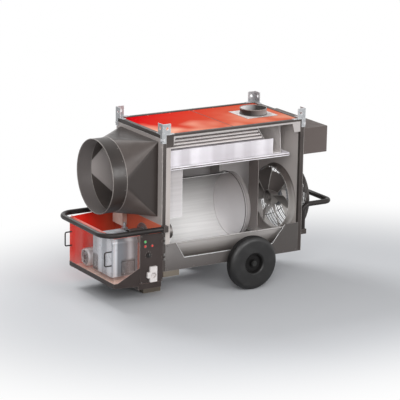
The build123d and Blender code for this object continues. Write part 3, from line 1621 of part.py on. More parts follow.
# Fuel pipes: supply and return, bent copper from the pump to the far cheek
pipe_r = 4
pipe_bend = 22
pipe_spread = 9
pipe_run_z = 190
pipe_run_step = 18
pipe_start_z = pump_body_z - pump_r - touch
with BuildPart() as fuel_pipes:
    for side in (-1, 1):
        pipe_x = block_x + side * pipe_spread
        pipe_low_z = pipe_run_z + side * pipe_run_step
        with BuildLine() as pipe_path:
            FilletPolyline(
                (pipe_x, pump_y, pipe_start_z),
                (pipe_x, pump_y, pipe_low_z),
                (pipe_x, side_y - skin - touch, pipe_low_z),
                radius=pipe_bend,
            )
        with BuildSketch(Plane.XY.offset(pipe_start_z)) as pipe_section:
            with Locations((pipe_x, pump_y)):
                Circle(pipe_r)
        sweep(sections=pipe_section.sketch, path=pipe_path.line)
save(fuel_pipes, "fuel_pipes")

# Junction box on the compartment's back plate, with an overhanging lid
box_y = 236
box_z = 500
box_width = 136
box_height = 112
box_thickness = 34
box_corner = 6
lid_overhang = 4
lid_thickness = 6
with BuildPart() as junction_box:
    with BuildSketch(Plane.YZ.offset(flange_x)):
        with Locations((box_y, box_z)):
            RectangleRounded(box_width, box_height, box_corner)
    extrude(amount=-box_thickness)
    with BuildSketch(Plane.YZ.offset(flange_x - box_thickness)):
        with Locations((box_y, box_z)):
            RectangleRounded(
                box_width + 2 * lid_overhang, box_height + 2 * lid_overhang, box_corner
            )
    extrude(amount=-lid_thickness)
save(junction_box, "junction_box")
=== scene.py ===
# %% [markdown]
# A diesel space heater on two wheels, opened on one side. The measured model brings every
# piece at its true size and place, so this lesson is about looks: the view, the light, the
# finish of every sheet, tube and casting, and the small screws, rivets, beads and seals.
# The measured pieces are loaded first, and nothing selected is left over from that.

# %% Load the measured pieces
import math

import bmesh
import bpy
from mathutils import Matrix, Vector


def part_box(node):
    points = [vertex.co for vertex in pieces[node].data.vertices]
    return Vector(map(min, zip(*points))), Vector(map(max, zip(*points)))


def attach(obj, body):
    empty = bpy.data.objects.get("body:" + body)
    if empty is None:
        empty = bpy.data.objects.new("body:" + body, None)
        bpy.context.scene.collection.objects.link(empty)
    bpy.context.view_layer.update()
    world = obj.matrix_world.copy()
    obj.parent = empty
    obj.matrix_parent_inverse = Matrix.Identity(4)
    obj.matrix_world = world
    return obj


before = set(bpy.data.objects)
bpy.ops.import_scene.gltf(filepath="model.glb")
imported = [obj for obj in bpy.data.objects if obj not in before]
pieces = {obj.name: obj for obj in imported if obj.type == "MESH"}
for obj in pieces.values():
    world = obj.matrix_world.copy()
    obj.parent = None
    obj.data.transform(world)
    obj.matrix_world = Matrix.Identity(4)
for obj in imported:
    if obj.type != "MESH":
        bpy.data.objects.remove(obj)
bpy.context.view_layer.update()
bpy.ops.object.select_all(action="DESELECT")

# %% [markdown]
# The picture was drawn as if seen with a long lens from the outlet end, a little above the
# roof and turned by a degree. A camera takes the same stand: its three directions are worked
# out from the turn and the height, and it is then set back along its own line of sight.

# %% The camera
casing_middle_x = 0.1015
aim = Vector((casing_middle_x, 0.0, 0.6))
turn = math.radians(-31.47)
height = math.radians(14.88)
tilt = math.radians(0.99)
stand_off = Vector((-0.0683, -0.0038, 15.3119))
sensor_width_mm = 36
long_lens_mm = 186.0
farthest_seen = 60

backwards = Vector(
    (math.sin(turn) * math.cos(height), -math.cos(turn) * math.cos(height), math.sin(height))
)
sideways = Vector((math.cos(turn), math.sin(turn), 0.0))
upwards = backwards.cross(sideways)
camera_right = sideways * math.cos(tilt) + upwards * math.sin(tilt)
camera_up = upwards * math.cos(tilt) - sideways * math.sin(tilt)
stand = Matrix((camera_right, camera_up, backwards)).transposed()

bpy.ops.object.camera_add()
camera = bpy.context.object
camera.name = "camera"
camera.matrix_world = Matrix.Translation(aim + stand @ stand_off) @ stand.to_4x4()
camera.data.sensor_width = sensor_width_mm
camera.data.lens = long_lens_mm
camera.data.clip_end = farthest_seen
bpy.context.scene.camera = camera
print("camera stands at", [round(c, 2) for c in camera.matrix_world.translation])

# %% [markdown]
# The world, the floor and every finish are trees of nodes, and the same few nodes come up in
# all of them. Helpers add these: one moves a number from one range to another, one joins
# numbers by a product or a sum, and one gives the distance from a point or a line. They read
# a piece's own coordinates in metres, so a pattern has the same real size on every piece.

# %% Helpers for trees of nodes
def feed(tree, socket, value):
    """Links a socket to another node's output, or sets a plain value on it."""
    if isinstance(value, bpy.types.NodeSocket):
        tree.links.new(value, socket)
    else:
        socket.default_value = value


def spread(tree, value, low, high, to_low, to_high):
    """Returns a value moved from one range to another, kept inside it."""
    node = tree.nodes.new("ShaderNodeMapRange")
    feed(tree, node.inputs["Value"], value)
    node.inputs["From Min"].default_value = low
    node.inputs["From Max"].default_value = high
    node.inputs["To Min"].default_value = to_low
    node.inputs["To Max"].default_value = to_high
    return node.outputs["Result"]


def joined(tree, operation, first, *others):
    """Returns values joined one after another by a sum, a product or another operation."""
    for other in others:
        node = tree.nodes.new("ShaderNodeMath")
        node.operation = operation
        feed(tree, node.inputs[0], first)
        feed(tree, node.inputs[1], other)
        first = node.outputs[0]
    return first


def product(tree, *values):
    """Returns the product of values, which is 1 only where all of them are."""
    return joined(tree, "MULTIPLY", *values)


def vector_value(tree, operation, *vectors):
    """Returns the length of a vector, or the dot product of two."""
    node = tree.nodes.new("ShaderNodeVectorMath")
    node.operation = operation
    for socket, vector in zip(node.inputs, vectors):
        feed(tree, socket, vector)
    return node.outputs["Value"]


def own_coordinates(tree, stretch=(1, 1, 1), shift=(0, 0, 0)):
    """Returns the socket of the piece's own coordinates, shifted and stretched if asked."""
    place = tree.nodes.new("ShaderNodeTexCoord").outputs["Object"]
    if stretch == (1, 1, 1) and shift == (0, 0, 0):
        return place
    mapping = tree.nodes.new("ShaderNodeMapping")
    mapping.inputs["Location"].default_value = shift
    mapping.inputs["Scale"].default_value = stretch
    tree.links.new(place, mapping.inputs["Vector"])
    return mapping.outputs["Vector"]


def from_middle(tree, middle, stretch):
    """Returns coordinates from a middle; a stretch of 0 on an axis makes the middle a line."""
    shift = tuple(-place * scale for place, scale in zip(middle, stretch))
    return own_coordinates(tree, stretch, shift)


def from_line(tree, middle, flat):
    """Returns the distance from a middle or a line through it."""
    return vector_value(tree, "LENGTH", from_middle(tree, middle, flat))


print("node helpers ready")

# %% [markdown]
# The studio is plain: a white world, a pale floor and soft lamps. The strongest lamp hangs
# behind the heater and above it, so that the shadow falls softly towards the viewer, and two
# wide lamps on the viewer's side fill the open casing. A large lamp gives sheet metal long
# gradients that show its folds, where a small one would only give a hot spot.

# %% The world and its two brightnesses
bpy.context.scene.view_settings.view_transform = "Standard"
world_light = 0.5
world = bpy.data.worlds.new("studio_world")
bpy.context.scene.world = world
world.use_nodes = True
world_tree = world.node_tree
sky = world_tree.nodes["Background"]
sky.inputs["Color"].default_value = (1, 1, 1, 1)


def seen_rays(tree):
    """Returns 1 for a ray from the lens, a mirror or glass, and 0 for one that lights."""
    path = tree.nodes.new("ShaderNodeLightPath")
    kinds = ("Is Camera Ray", "Is Glossy Ray", "Is Transmission Ray")
    return joined(tree, "MAXIMUM", *(path.outputs[kind] for kind in kinds))


brightness = spread(world_tree, seen_rays(world_tree), 0, 1, world_light, 1)
world_tree.links.new(brightness, sky.inputs["Strength"])
print("world lights at", world_light, "and looks white")

# %% [markdown]
# The floor has to hold the shadow near the heater and run out to white far from it. It is a
# grey floor round the heater, a painted shadow that deepens the real one, and it is mixed with
# a white of strength 1 by the distance from the middle, but only for rays from the lens, a
# mirror or glass, so that no light is added.

# %% The floor
floor_reach = 60
floor_drop = 0.0005
# the floor's grey round the heater is a painted shadow that deepens the real one
floor_painted_shadow_grey = (0.55, 0.56, 0.58, 1)
shadow_middle, shadow_stretch = (0.1923, -0.45, 0), (0.78, 1, 1)
shadow_from, shadow_to = 1.15, 2.5
bpy.ops.mesh.primitive_plane_add(size=floor_reach, location=(0, 0, -floor_drop))
floor = bpy.context.object
floor.name = "studio_floor"
floor_paint = bpy.data.materials.new("studio_floor")
floor_paint.use_nodes = True
floor_tree = floor_paint.node_tree
floor_shader = floor_tree.nodes["Principled BSDF"]
floor_shader.inputs["Base Color"].default_value = floor_painted_shadow_grey
floor_shader.inputs["Roughness"].default_value = 0.9
floor_shader.inputs["Specular IOR Level"].default_value = 0.0
white = floor_tree.nodes.new("ShaderNodeEmission")
distance = from_line(floor_tree, shadow_middle, shadow_stretch)
far_off = spread(floor_tree, distance, shadow_from, shadow_to, 0, 1)
far_off.node.interpolation_type = "SMOOTHSTEP"
whiten = product(floor_tree, far_off, seen_rays(floor_tree))
floor_mix = floor_tree.nodes.new("ShaderNodeMixShader")
for socket, value in zip(
    floor_mix.inputs, (whiten, floor_shader.outputs["BSDF"], white.outputs["Emission"])
):
    floor_tree.links.new(value, socket)
floor_tree.links.new(
    floor_mix.outputs[0], floor_tree.nodes["Material Output"].inputs["Surface"]
)
floor.data.materials.append(floor_paint)
print("floor whitens from", shadow_from, "to", shadow_to, "m")


# %% The lamps
def hang_lamp(name, place, size, power):
    """Hangs a square soft lamp that faces the middle of the casing."""
    bpy.ops.object.light_add(type="AREA", location=place)
    lamp = bpy.context.object
    lamp.name = name
    lamp.data.size = size
    lamp.data.energy = power
    lamp.rotation_euler = (Vector(place) - aim).to_track_quat("Z", "Y").to_euler()
    print(name, size, "m wide,", power, "W")


hang_lamp("back_lamp", place=(-0.9, 4.4, 5.2), size=2.2, power=270)
hang_lamp("key_lamp", place=(-3.2, -5.2, 3.4), size=2.6, power=170)
hang_lamp("fill_lamp", place=(2.0, -6.0, 2.8), size=3.0, power=170)

# %% [markdown]
# Colours are written here as on a colour card, from 0 to 255. Shaders mix light, so they want
# the linear amount of light instead, and one helper turns the one into the other. Every finish
# starts in the same way, from one shader with its colour, gloss and metal on its own sockets.

# %% Colours as on a colour card, and the start of every finish
def card(red, green, blue):
    """Returns the linear colour, with an alpha of 1, of a colour card's numbers."""
    parts = (red / 255, green / 255, blue / 255)
    linear = [
        part / 12.92 if part <= 0.04045 else ((part + 0.055) / 1.055) ** 2.4 for part in parts
    ]
    return (*linear, 1)


def mix_colours(tree, factor, first, second):
    """Returns the mix of two colours, each a socket or a colour card's numbers."""
    node = tree.nodes.new("ShaderNodeMix")
    node.data_type = "RGBA"
    tree.links.new(factor, node.inputs[0])
    for socket, colour in ((node.inputs[6], first), (node.inputs[7], second)):
        feed(tree, socket, card(*colour) if isinstance(colour, tuple) else colour)
    return node.outputs[2]


def start_finish(name, colour, roughness, metal=0.0, gloss=0.5):
    """Returns a new finish, its node tree and its shader."""
    finish = bpy.data.materials.new(name)
    finish.use_nodes = True
    shader = finish.node_tree.nodes["Principled BSDF"]
    shader.inputs["Base Color"].default_value = card(*colour)
    shader.inputs["Roughness"].default_value = roughness
    shader.inputs["Metallic"].default_value = metal
    shader.inputs["Specular IOR Level"].default_value = gloss
    return finish, finish.node_tree, shader


def dress(finish, *names):
    """Puts a finish on measured pieces."""
    for name in names:
        for place in pieces[name].material_slots:
            place.material = finish
    print(finish.name, "on", ", ".join(names))


print("middle grey on the card is", round(card(128, 128, 128)[0], 3))

# %% [markdown]
# Real surfaces are never even. Their colour wanders, they have a fine relief, their edges wear
# bright, and a sheet often has another tint on its inner side. The next helpers give those:
# noise patterns, and masks that are 1 on a certain stretch, side or edge and 0 elsewhere.

# %% Helpers for patterns
def noise(tree, scale, detail, stretch=(1, 1, 1)):
    """Returns the value socket of a noise pattern."""
    pattern = tree.nodes.new("ShaderNodeTexNoise")
    pattern.inputs["Scale"].default_value = scale
    pattern.inputs["Detail"].default_value = detail
    tree.links.new(own_coordinates(tree, stretch), pattern.inputs["Vector"])
    return pattern.outputs["Fac"]


def mottled(tree, pattern, colour, other):
    """Returns a colour that wanders to another; pattern is (scale, detail, low, high)."""
    scale, detail, low, high = pattern
    return mix_colours(
        tree, spread(tree, noise(tree, scale, detail), low, high, 0, 1), colour, other
    )


def relief(tree, shader, value, depth, strength):
    """Gives the shader a bump of a real depth in metres."""
    bump = tree.nodes.new("ShaderNodeBump")
    bump.inputs["Distance"].default_value = depth
    bump.inputs["Strength"].default_value = strength
    tree.links.new(value, bump.inputs["Height"])
    tree.links.new(bump.outputs["Normal"], shader.inputs["Normal"])


# %% Helpers for masks: a stretch, a side or an edge
nearward, farward = (0, -1, 0), (0, 1, 0)
frontward, rearward = (-1, 0, 0), (1, 0, 0)
skyward, groundward = (0, 0, 1), (0, 0, -1)
across_x, across_z = (0, 1, 1), (1, 1, 0)


def along(tree, axis, start, end):
    """Returns 0 to 1 along the piece from one place to another on an axis."""
    apart = tree.nodes.new("ShaderNodeSeparateXYZ")
    tree.links.new(own_coordinates(tree), apart.inputs[0])
    return spread(tree, apart.outputs[axis], start, end, 0, 1)


def surface_dot(tree, vector):
    """Returns the dot product of the surface's normal and a vector."""
    normal = tree.nodes.new("ShaderNodeNewGeometry").outputs["Normal"]
    return vector_value(tree, "DOT_PRODUCT", normal, vector)


def facing(tree, direction, from_dot=0.2, to_dot=0.5):
    """Returns 1 where the surface faces a direction, and 0 on the other side."""
    return spread(tree, surface_dot(tree, direction), from_dot, to_dot, 0, 1)


def facing_line(tree, middle, flat):
    """Returns 1 where the surface faces a line, such as a duct's own middle."""
    clearly, barely = -0.03, -0.01
    turned = surface_dot(tree, from_middle(tree, middle, flat))
    return spread(tree, turned, clearly, barely, 1, 0)


# bright edges are partly wear and partly a painted highlight along folds
def worn_and_highlit_edges(tree, width, least=0.012):
    """Returns 1 on edges: where a rounded corner would turn away from the true surface."""
    most = 0.09
    rounded = tree.nodes.new("ShaderNodeBevel")
    rounded.samples = 6
    rounded.inputs["Radius"].default_value = width
    turned = surface_dot(tree, rounded.outputs["Normal"])
    return spread(tree, turned, 1 - most, 1 - least, 1, 0)


print("pattern and mask helpers ready")

# %% [markdown]
# Powder-coated steel covers most of this heater. Powder paint melts into a skin with a faint
# orange-peel relief and a satin gloss. In use it gets rubbed places that are a little lighter
# and duller, and its edges are made bright, partly as wear and partly as a painted highlight
# that draws every fold of a sheet as a thin light line. A sheet can have a tint of its own on
# one side, and some sheets get painted light or shade on one side.

# %% Powder paint, used for the frame, the panels and the ducts
def powder_paint(
    name, colour, rubbed, edge, roughness=0.42, gloss=0.3,
    tints_and_painted_light=(), slope=None, metal=0.0, edge_least=0.012,
):
    """Returns a powder paint that is rubbed in places and bright on its edges.

    tints_and_painted_light is pairs (a direction or a mask's function, the colour there),
    which give a side's own tint in some finishes and painted light and shade in others, and
    slope is (axis, from, to, the colour at its end).
    """
    rub_pattern = (3.5, 4, 0.36, 0.7)
    edge_width, peel_depth = 0.004, 0.00015
    finish, tree, shader = start_finish(name, colour, roughness, metal, gloss)
    base = mottled(tree, rub_pattern, colour, rubbed)
    if slope:
        axis, start, end, far_colour = slope
        base = mix_colours(tree, along(tree, axis, start, end), base, far_colour)
    # each pair gives a side's own tint in some finishes and painted light and shade in others
    for where, tint_and_light_colour in tints_and_painted_light:
        mask = facing(tree, where) if isinstance(where, tuple) else where(tree)
        base = mix_colours(tree, mask, base, tint_and_light_colour)
    # edges made bright: partly wear, partly a painted highlight
    broken = spread(tree, noise(tree, 34, 5), 0.3, 0.62, 0.28, 0.8)
    edge_wear_and_highlight = product(tree, worn_and_highlit_edges(tree, edge_width, edge_least), broken)
    tree.links.new(mix_colours(tree, edge_wear_and_highlight, base, edge), shader.inputs["Base Color"])
    rubbed_gloss = spread(
        tree, noise(tree, 14, 6), 0.35, 0.75, roughness - 0.06, roughness + 0.14
    )
    tree.links.new(rubbed_gloss, shader.inputs["Roughness"])
    relief(tree, shader, noise(tree, 420, 2), peel_depth, 0.5)
    return finish


dress(
    powder_paint("frame_paint", (58, 52, 50), (76, 70, 67), (140, 134, 130), 0.4, 0.25),
    "base_rails", "corner_posts", "tube_sockets",
)
dress(
    powder_paint("tube_paint", (34, 30, 29), (46, 41, 40), (84, 78, 76), 0.36, 0.22),
    "front_bumper", "rear_handle",
)

# %% [markdown]
# The top frame is painted like the rest of the frame. On the open side its lower lip is pale,
# which makes the dark roof edge look thin. The lip is no piece of its own, so a mask finds it:
# the surface that faces the viewer, under a certain height and between the two ends.

# %% The top frame, with the pale lower lip of its open side
lip_top_z, lip_front_x, lip_rear_x = 1.202, -0.408, 0.667


def near_lip(tree):
    return product(
        tree,
        facing(tree, nearward),
        along(tree, "Z", lip_top_z + 0.003, lip_top_z),
        along(tree, "X", lip_front_x - 0.004, lip_front_x),
        along(tree, "X", lip_rear_x + 0.002, lip_rear_x),
    )


rail_paint = powder_paint(
    "rail_paint", (56, 50, 48), (72, 66, 63), (134, 128, 124), 0.4, 0.25,
    tints_and_painted_light=((near_lip, (176, 171, 169)),),
)
dress(rail_paint, "top_rails")

# %% [markdown]
# The transition and its collar are dark sheet. Their inner side is painted lighter as painted
# light from the mouth, the far flat part inside gets a painted highlight, and the flat parts
# outside are painted darker than the folded corners as painted shade. The inner side is found
# by whether the surface looks at the duct's own middle line, the flat parts by their direction.

# %% The dark ducts of the hot air outlet
outlet_low, outlet_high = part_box("outlet_transition")
outlet_middle = (0, 0, (outlet_low.z + outlet_high.z) / 2)


def inside_outlet(tree):
    return facing_line(tree, outlet_middle, across_x)


def lit_far_flat_inside(tree):
    return product(tree, inside_outlet(tree), facing(tree, nearward, 0.96, 0.975))


def shaded_flat_outside(tree):
    near_or_top = joined(
        tree, "MAXIMUM", *(facing(tree, way, 0.96, 0.985) for way in (nearward, skyward))
    )
    return product(tree, joined(tree, "SUBTRACT", 1, inside_outlet(tree)), near_or_top)


# painted light inside, a painted highlight on the far flat inside, painted shade on the flats
# outside
duct_paint = powder_paint(
    "duct_paint", (72, 64, 61), (92, 84, 80), (132, 125, 120), 0.36, 0.4,
    tints_and_painted_light=(
        (inside_outlet, (84, 77, 74)),
        (lit_far_flat_inside, (190, 182, 179)),
        (shaded_flat_outside, (48, 41, 38)),
    ),
    edge_least=0.003,
)
dress(duct_paint, "outlet_transition")
# the collar's lighter inner side is painted light
collar_paint = powder_paint(
    "collar_paint", (44, 38, 35), (60, 53, 50), (110, 103, 99), 0.34, 0.4,
    tints_and_painted_light=((inside_outlet, (116, 110, 108)),),
)
dress(collar_paint, "outlet_collar")

# %% [markdown]
# The panels and walls close the casing. Each has a paler inner side that throws light round
# in the open casing, and it needs only a direction to find it. The skirt is darker at its
# foot, and the front wall shades a little with its height.

# %% Side panels and walls, each with its own inner side
def skirt_foot(tree):
    return product(tree, along(tree, "Z", 0.36, 0.22), 0.8)


far_paint = powder_paint(
    "far_side_paint", (98, 93, 92), (112, 107, 105), (160, 155, 152), 0.4, 0.3,
    tints_and_painted_light=((nearward, (206, 201, 200)),),
)
dress(far_paint, "far_side_panel")
skirt_paint = powder_paint(
    "skirt_paint", (108, 104, 103), (120, 116, 114), (146, 142, 139), 0.4, 0.3,
    slope=("X", -0.3, 0.5, (78, 74, 72)), tints_and_painted_light=((skirt_foot, (78, 73, 71)),),
)
dress(skirt_paint, "near_skirt")
front_wall_paint = powder_paint(
    "front_wall_paint", (178, 170, 165), (188, 181, 176), (222, 218, 214), 0.4, 0.3,
    slope=("Z", 0.45, 1.2, (168, 160, 157)), tints_and_painted_light=((rearward, (232, 229, 229)),),
)
dress(front_wall_paint, "front_wall")
rear_wall_paint = powder_paint(
    "rear_wall_paint", (98, 93, 92), (110, 105, 103), (170, 165, 162), 0.4, 0.3,
    tints_and_painted_light=((frontward, (206, 199, 195)),),
)
dress(rear_wall_paint, "rear_wall")
dress(
    powder_paint("pan_paint", (226, 222, 220), (236, 233, 231), (244, 242, 240), 0.45),
    "floor_pan",
)

# %% [markdown]
# The smaller painted pieces differ only in their greys, so a table holds their numbers: the
# paint, its rubbed and worn colours, its roughness and its gloss. A few pieces get painted
# light or shade on one side as well: the tray's outer side is painted dark as shade, the fan's
# lower blades are painted lighter where light catches them, the ring is painted darker towards
# its top, and the supports are painted lighter towards their foot and the far side.

# %% Small painted pieces: rear box, feet, door, motor, fan and guard
for name, colour, rubbed, edge, roughness, gloss, names in (
    ("box_paint", (90, 82, 79), (97, 89, 86), (140, 133, 129), 0.5, 0.12, ["rear_box"]),
    (
        "foot_paint", (98, 90, 80), (114, 106, 95), (150, 142, 130), 0.5, 0.3,
        ["foot_beam", "front_feet"],
    ),
    (
        "door_paint", (52, 44, 42), (62, 54, 52), (104, 96, 92), 0.42, 0.25,
        ["control_door", "bay_sill"],
    ),
    (
        "motor_paint", (112, 113, 118), (130, 131, 136), (170, 171, 175), 0.5, 0.35,
        ["fan_motor"],
    ),
):
    dress(powder_paint(name, colour, rubbed, edge, roughness, gloss), *names)
wire_paint = powder_paint("wire_paint", (62, 57, 55), (78, 73, 71), (90, 85, 83), 0.42, 0.3)
dress(wire_paint, "fan_guard")

# %% Painted pieces with painted light and shade on one side: tray, fan, ring and supports
def shaded_tray_outside(tree):
    return joined(tree, "MAXIMUM", facing(tree, groundward), facing(tree, frontward))


def lit_support_foot(tree):
    return product(tree, along(tree, "Z", 0.75, 0.35), 0.6)


# painted shade: the tray's outer side is painted dark
tray_paint = powder_paint(
    "tray_paint", (250, 206, 186), (252, 222, 206), (252, 236, 226), 0.4, 0.3,
    tints_and_painted_light=((shaded_tray_outside, (46, 39, 37)),),
)
dress(tray_paint, "bay_tray")
# painted light: the lower blades are painted lighter where light catches them
blade_paint = powder_paint(
    "blade_paint", (78, 72, 70), (96, 90, 87), (190, 186, 182), 0.4, 0.35,
    slope=("Z", 0.6, 0.46, (196, 191, 187)),
)
dress(blade_paint, "fan_impeller")
# painted shade: the ring is painted darker towards its top
ring_paint = powder_paint(
    "ring_paint", (224, 219, 215), (232, 228, 225), (240, 238, 236), 0.36, 0.4,
    slope=("Z", 0.42, 0.72, (104, 96, 92)),
)
dress(ring_paint, "fan_ring")
# painted light: the supports are painted lighter towards the far side and their foot
support_paint = powder_paint(
    "support_paint", (88, 80, 77), (102, 94, 91), (166, 160, 156), 0.42, 0.3,
    slope=("Y", -0.1, 0.1, (186, 181, 178)), tints_and_painted_light=((lit_support_foot, (170, 164, 161)),),
)
dress(support_paint, "chamber_supports")

# %% [markdown]
# The roof and the burner compartment are red. Seen at a low angle, a glossy red mirrors the
# white room and turns pink, so this paint is kept satin with next to no gloss, and its colour
# is strong. On the roof the red is painted from a pure red on the outlet side to a warmer,
# lighter red along the open side and to the rear as a painted sheen, with a few pale painted
# highlights there and round the flue.

# %% Red paint for the roof
roof_low, roof_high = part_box("top_panels")
collar_low, collar_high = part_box("flue_collar")
flue_x = (collar_low.x + collar_high.x) / 2
flue_middle = (flue_x, (collar_low.y + collar_high.y) / 2, 0)
highlight_red = (238, 176, 150)
roof_red, tree, shader = start_finish("roof_red", (206, 14, 20), 0.45, 0.0, 0.001)
to_near = along(tree, "Y", roof_high.y, roof_low.y)
to_rear = along(tree, "X", roof_low.x + 0.02, roof_high.x - 0.1)
# painted sheen: a lighter, warmer red towards the rear and the open side
painted_sheen = joined(tree, "ADD", to_rear, product(tree, to_near, 0.55))
roof_base = mix_colours(tree, spread(tree, painted_sheen, 0.1, 1.15, 0, 1), (204, 8, 18), (202, 90, 64))
# painted highlights: pale patches along the open side and round the flue
painted_highlights = product(tree, spread(tree, noise(tree, 3.2, 1), 0.42, 0.66, 0.2, 1), to_near)
painted_highlights = spread(tree, painted_highlights, 0.22, 0.75, 0, 0.95)
flue_highlight = product(
    tree,
    spread(tree, from_line(tree, flue_middle, across_z), 0.12, 0.36, 0.85, 0),
    to_near,
    spread(tree, noise(tree, 5, 1), 0.35, 0.6, 0.3, 1),
)
painted_highlights = joined(tree, "MAXIMUM", painted_highlights, flue_highlight)
roof_base = mix_colours(tree, painted_highlights, roof_base, highlight_red)
# the roof's bright edges: partly wear, partly a painted highlight
edge_wear_and_highlight = product(
    tree, worn_and_highlit_edges(tree, 0.004), spread(tree, noise(tree, 30, 4), 0.35, 0.6, 0.1, 0.6)
)
roof_base = mix_colours(tree, edge_wear_and_highlight, roof_base, (236, 170, 145))
roof_base = mix_colours(tree, facing(tree, groundward), roof_base, (226, 221, 219))
tree.links.new(roof_base, shader.inputs["Base Color"])
tree.links.new(spread(tree, noise(tree, 12, 5), 0.35, 0.7, 0.4, 0.55), shader.inputs["Roughness"])
relief(tree, shader, noise(tree, 260, 2), 0.0001, 0.4)
dress(roof_red, "top_panels")

# %% [markdown]
# The compartment's far side is the same red, and it is painted paler towards the casing as
# painted light coming back from the walls. Its back is a lighter salmon, painted darker towards
# the far side as painted shade. Powder paint with a slope along one axis gives both.

# %% Red paint for the compartment
# painted light: the red is painted paler towards the casing
cheek_red = powder_paint(
    "cheek_red", (250, 34, 26), (246, 52, 38), (252, 170, 140), 0.4, 0.1,
    slope=("X", -0.74, -0.56, (206, 84, 60)), tints_and_painted_light=((farward, (214, 20, 20)),),
)
dress(cheek_red, "bay_far_side")
# painted shade: the salmon is painted darker towards the far side
back_red = powder_paint(
    "back_red", (238, 116, 86), (230, 124, 96), (246, 176, 150), 0.4, 0.15,
    slope=("Y", 0.0, 0.3, (186, 84, 62)),
)
dress(back_red, "bay_back")

# %% [markdown]
# Galvanised steel is dipped in zinc, which freezes in crystals a centimetre or two across.
# A Voronoi pattern gives such cells, and each cell gets its own grey and its own gloss,
# which is what the eye reads as zinc. The cut edges and the rims of the eyes are brighter.

# %% Galvanised zinc, for the lifting lugs and the flue plate
def zinc_coat(name, dark, light, edge, cell_scale, roughness, metal=0.5):
    """Returns a zinc finish with crystals and bright edges."""
    finish, tree, shader = start_finish(name, dark, roughness, metal)
    cells = tree.nodes.new("ShaderNodeTexVoronoi")
    cells.inputs["Scale"].default_value = cell_scale
    tree.links.new(own_coordinates(tree), cells.inputs["Vector"])
    apart = tree.nodes.new("ShaderNodeSeparateColor")
    tree.links.new(cells.outputs["Color"], apart.inputs[0])
    base = mix_colours(tree, apart.outputs["Red"], dark, light)
    base = mix_colours(tree, worn_and_highlit_edges(tree, 0.005), base, edge)
    tree.links.new(base, shader.inputs["Base Color"])
    cell_gloss = spread(
        tree, apart.outputs["Green"], 0, 1, roughness - 0.1, roughness + 0.12
    )
    tree.links.new(cell_gloss, shader.inputs["Roughness"])
    relief(tree, shader, noise(tree, 180, 3), 0.0002, 0.4)
    return finish


lug_zinc = zinc_coat("lug_zinc", (150, 152, 154), (172, 174, 176), (222, 223, 225), 65, 0.48)
dress(lug_zinc, "lifting_lugs")
plate_zinc = zinc_coat(
    "plate_zinc", (206, 198, 197), (220, 214, 213), (120, 112, 110), 50, 0.5, 0.2
)
dress(plate_zinc, "flue_plate")
plated_steel = zinc_coat(
    "plated_steel", (96, 94, 92), (128, 126, 124), (170, 168, 166), 420, 0.4
)
dress(plated_steel, "fan_shaft", "hinge_posts")
dark_steel = zinc_coat("dark_steel", (22, 22, 21), (30, 30, 29), (44, 43, 42), 300, 0.5, 0.2)
dress(dark_steel, "axle", "axle_nuts")

# %% [markdown]
# The fire side is heat-proof steel. Rolled sheet has fine lines along its rolling direction.
# Each piece runs from one grey at the bottom to another at the top, which is painted light and
# shade: the chamber is painted pale low down and dark higher up, the shroud the other way. The
# lines are a noise stretched many times along X, and the painted greys follow the height.

# %% Rolled heat-proof steel
def rolled_steel(name, painted_light_low, painted_light_high, low_z, high_z, edge, roughness, metal=0.25):
    """Returns a rolled steel painted from one grey at the bottom to another at the top."""
    finish, tree, shader = start_finish(name, painted_light_low, roughness, metal)
    base = mix_colours(tree, along(tree, "Z", low_z, high_z), painted_light_low, painted_light_high)
    lines = noise(tree, 60, 4, (0.04, 1, 1))
    base = mix_colours(tree, spread(tree, lines, 0.35, 0.75, 0, 0.16), base, (110, 104, 102))
    base = mix_colours(tree, worn_and_highlit_edges(tree, 0.005), base, edge)
    tree.links.new(base, shader.inputs["Base Color"])
    line_gloss = spread(tree, lines, 0.3, 0.7, roughness - 0.08, roughness + 0.1)
    tree.links.new(line_gloss, shader.inputs["Roughness"])
    relief(tree, shader, lines, 0.0003, 0.35)
    return finish


# the two greys of each row are painted light and shade along the height
for name, painted_light_low, painted_light_high, low_z, high_z, edge, roughness, metal, names in (
    (
        "shell_steel", (255, 254, 253), (84, 79, 77), 0.36, 0.82,
        (250, 248, 247), 0.4, 0.0, ["combustion_chamber"],
    ),
    (
        "smoke_box_steel", (240, 237, 238), (178, 173, 173), 0.35, 0.85,
        (246, 244, 244), 0.4, 0.05, ["front_smoke_box"],
    ),
    (
        "turn_box_steel", (222, 216, 214), (202, 196, 193), 0.95, 1.15,
        (238, 235, 233), 0.42, 0.05, ["rear_smoke_box"],
    ),
    (
        "tube_steel", (214, 208, 206), (226, 221, 219), 1.07, 1.19,
        (248, 246, 245), 0.38, 0.0, ["flat_tubes"],
    ),
    (
        "burner_steel", (110, 106, 104), (134, 130, 128), 0.38, 0.48,
        (206, 203, 200), 0.34, 0.5, ["blast_tube", "burner_head"],
    ),
    (
        "liner_steel", (92, 86, 82), (206, 201, 198), 0.28, 0.38,
        (238, 236, 234), 0.42, 0.1, ["lower_shroud"],
    ),
):
    steel = rolled_steel(name, painted_light_low, painted_light_high, low_z, high_z, edge, roughness, metal)
    dress(steel, *names)

# %% [markdown]
# The chamber's rear cap is pressed on a lathe, so its fine lines run in rings round its
# middle. The rings come from the distance to the chamber's own line, and a wave made of that
# distance drives the relief and the gloss.

# %% The spun cap of the chamber
waves_per_m = 900
cap_low, cap_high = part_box("chamber_rear_cap")
cap_middle = (0, 0, (cap_low.z + cap_high.z) / 2)
cap_r = (cap_high.z - cap_low.z) / 2
cap_steel, tree, shader = start_finish("cap_steel", (224, 218, 217), 0.32, 0.05)
reach = from_line(tree, cap_middle, across_x)
rings = joined(tree, "SINE", product(tree, reach, waves_per_m), 0)
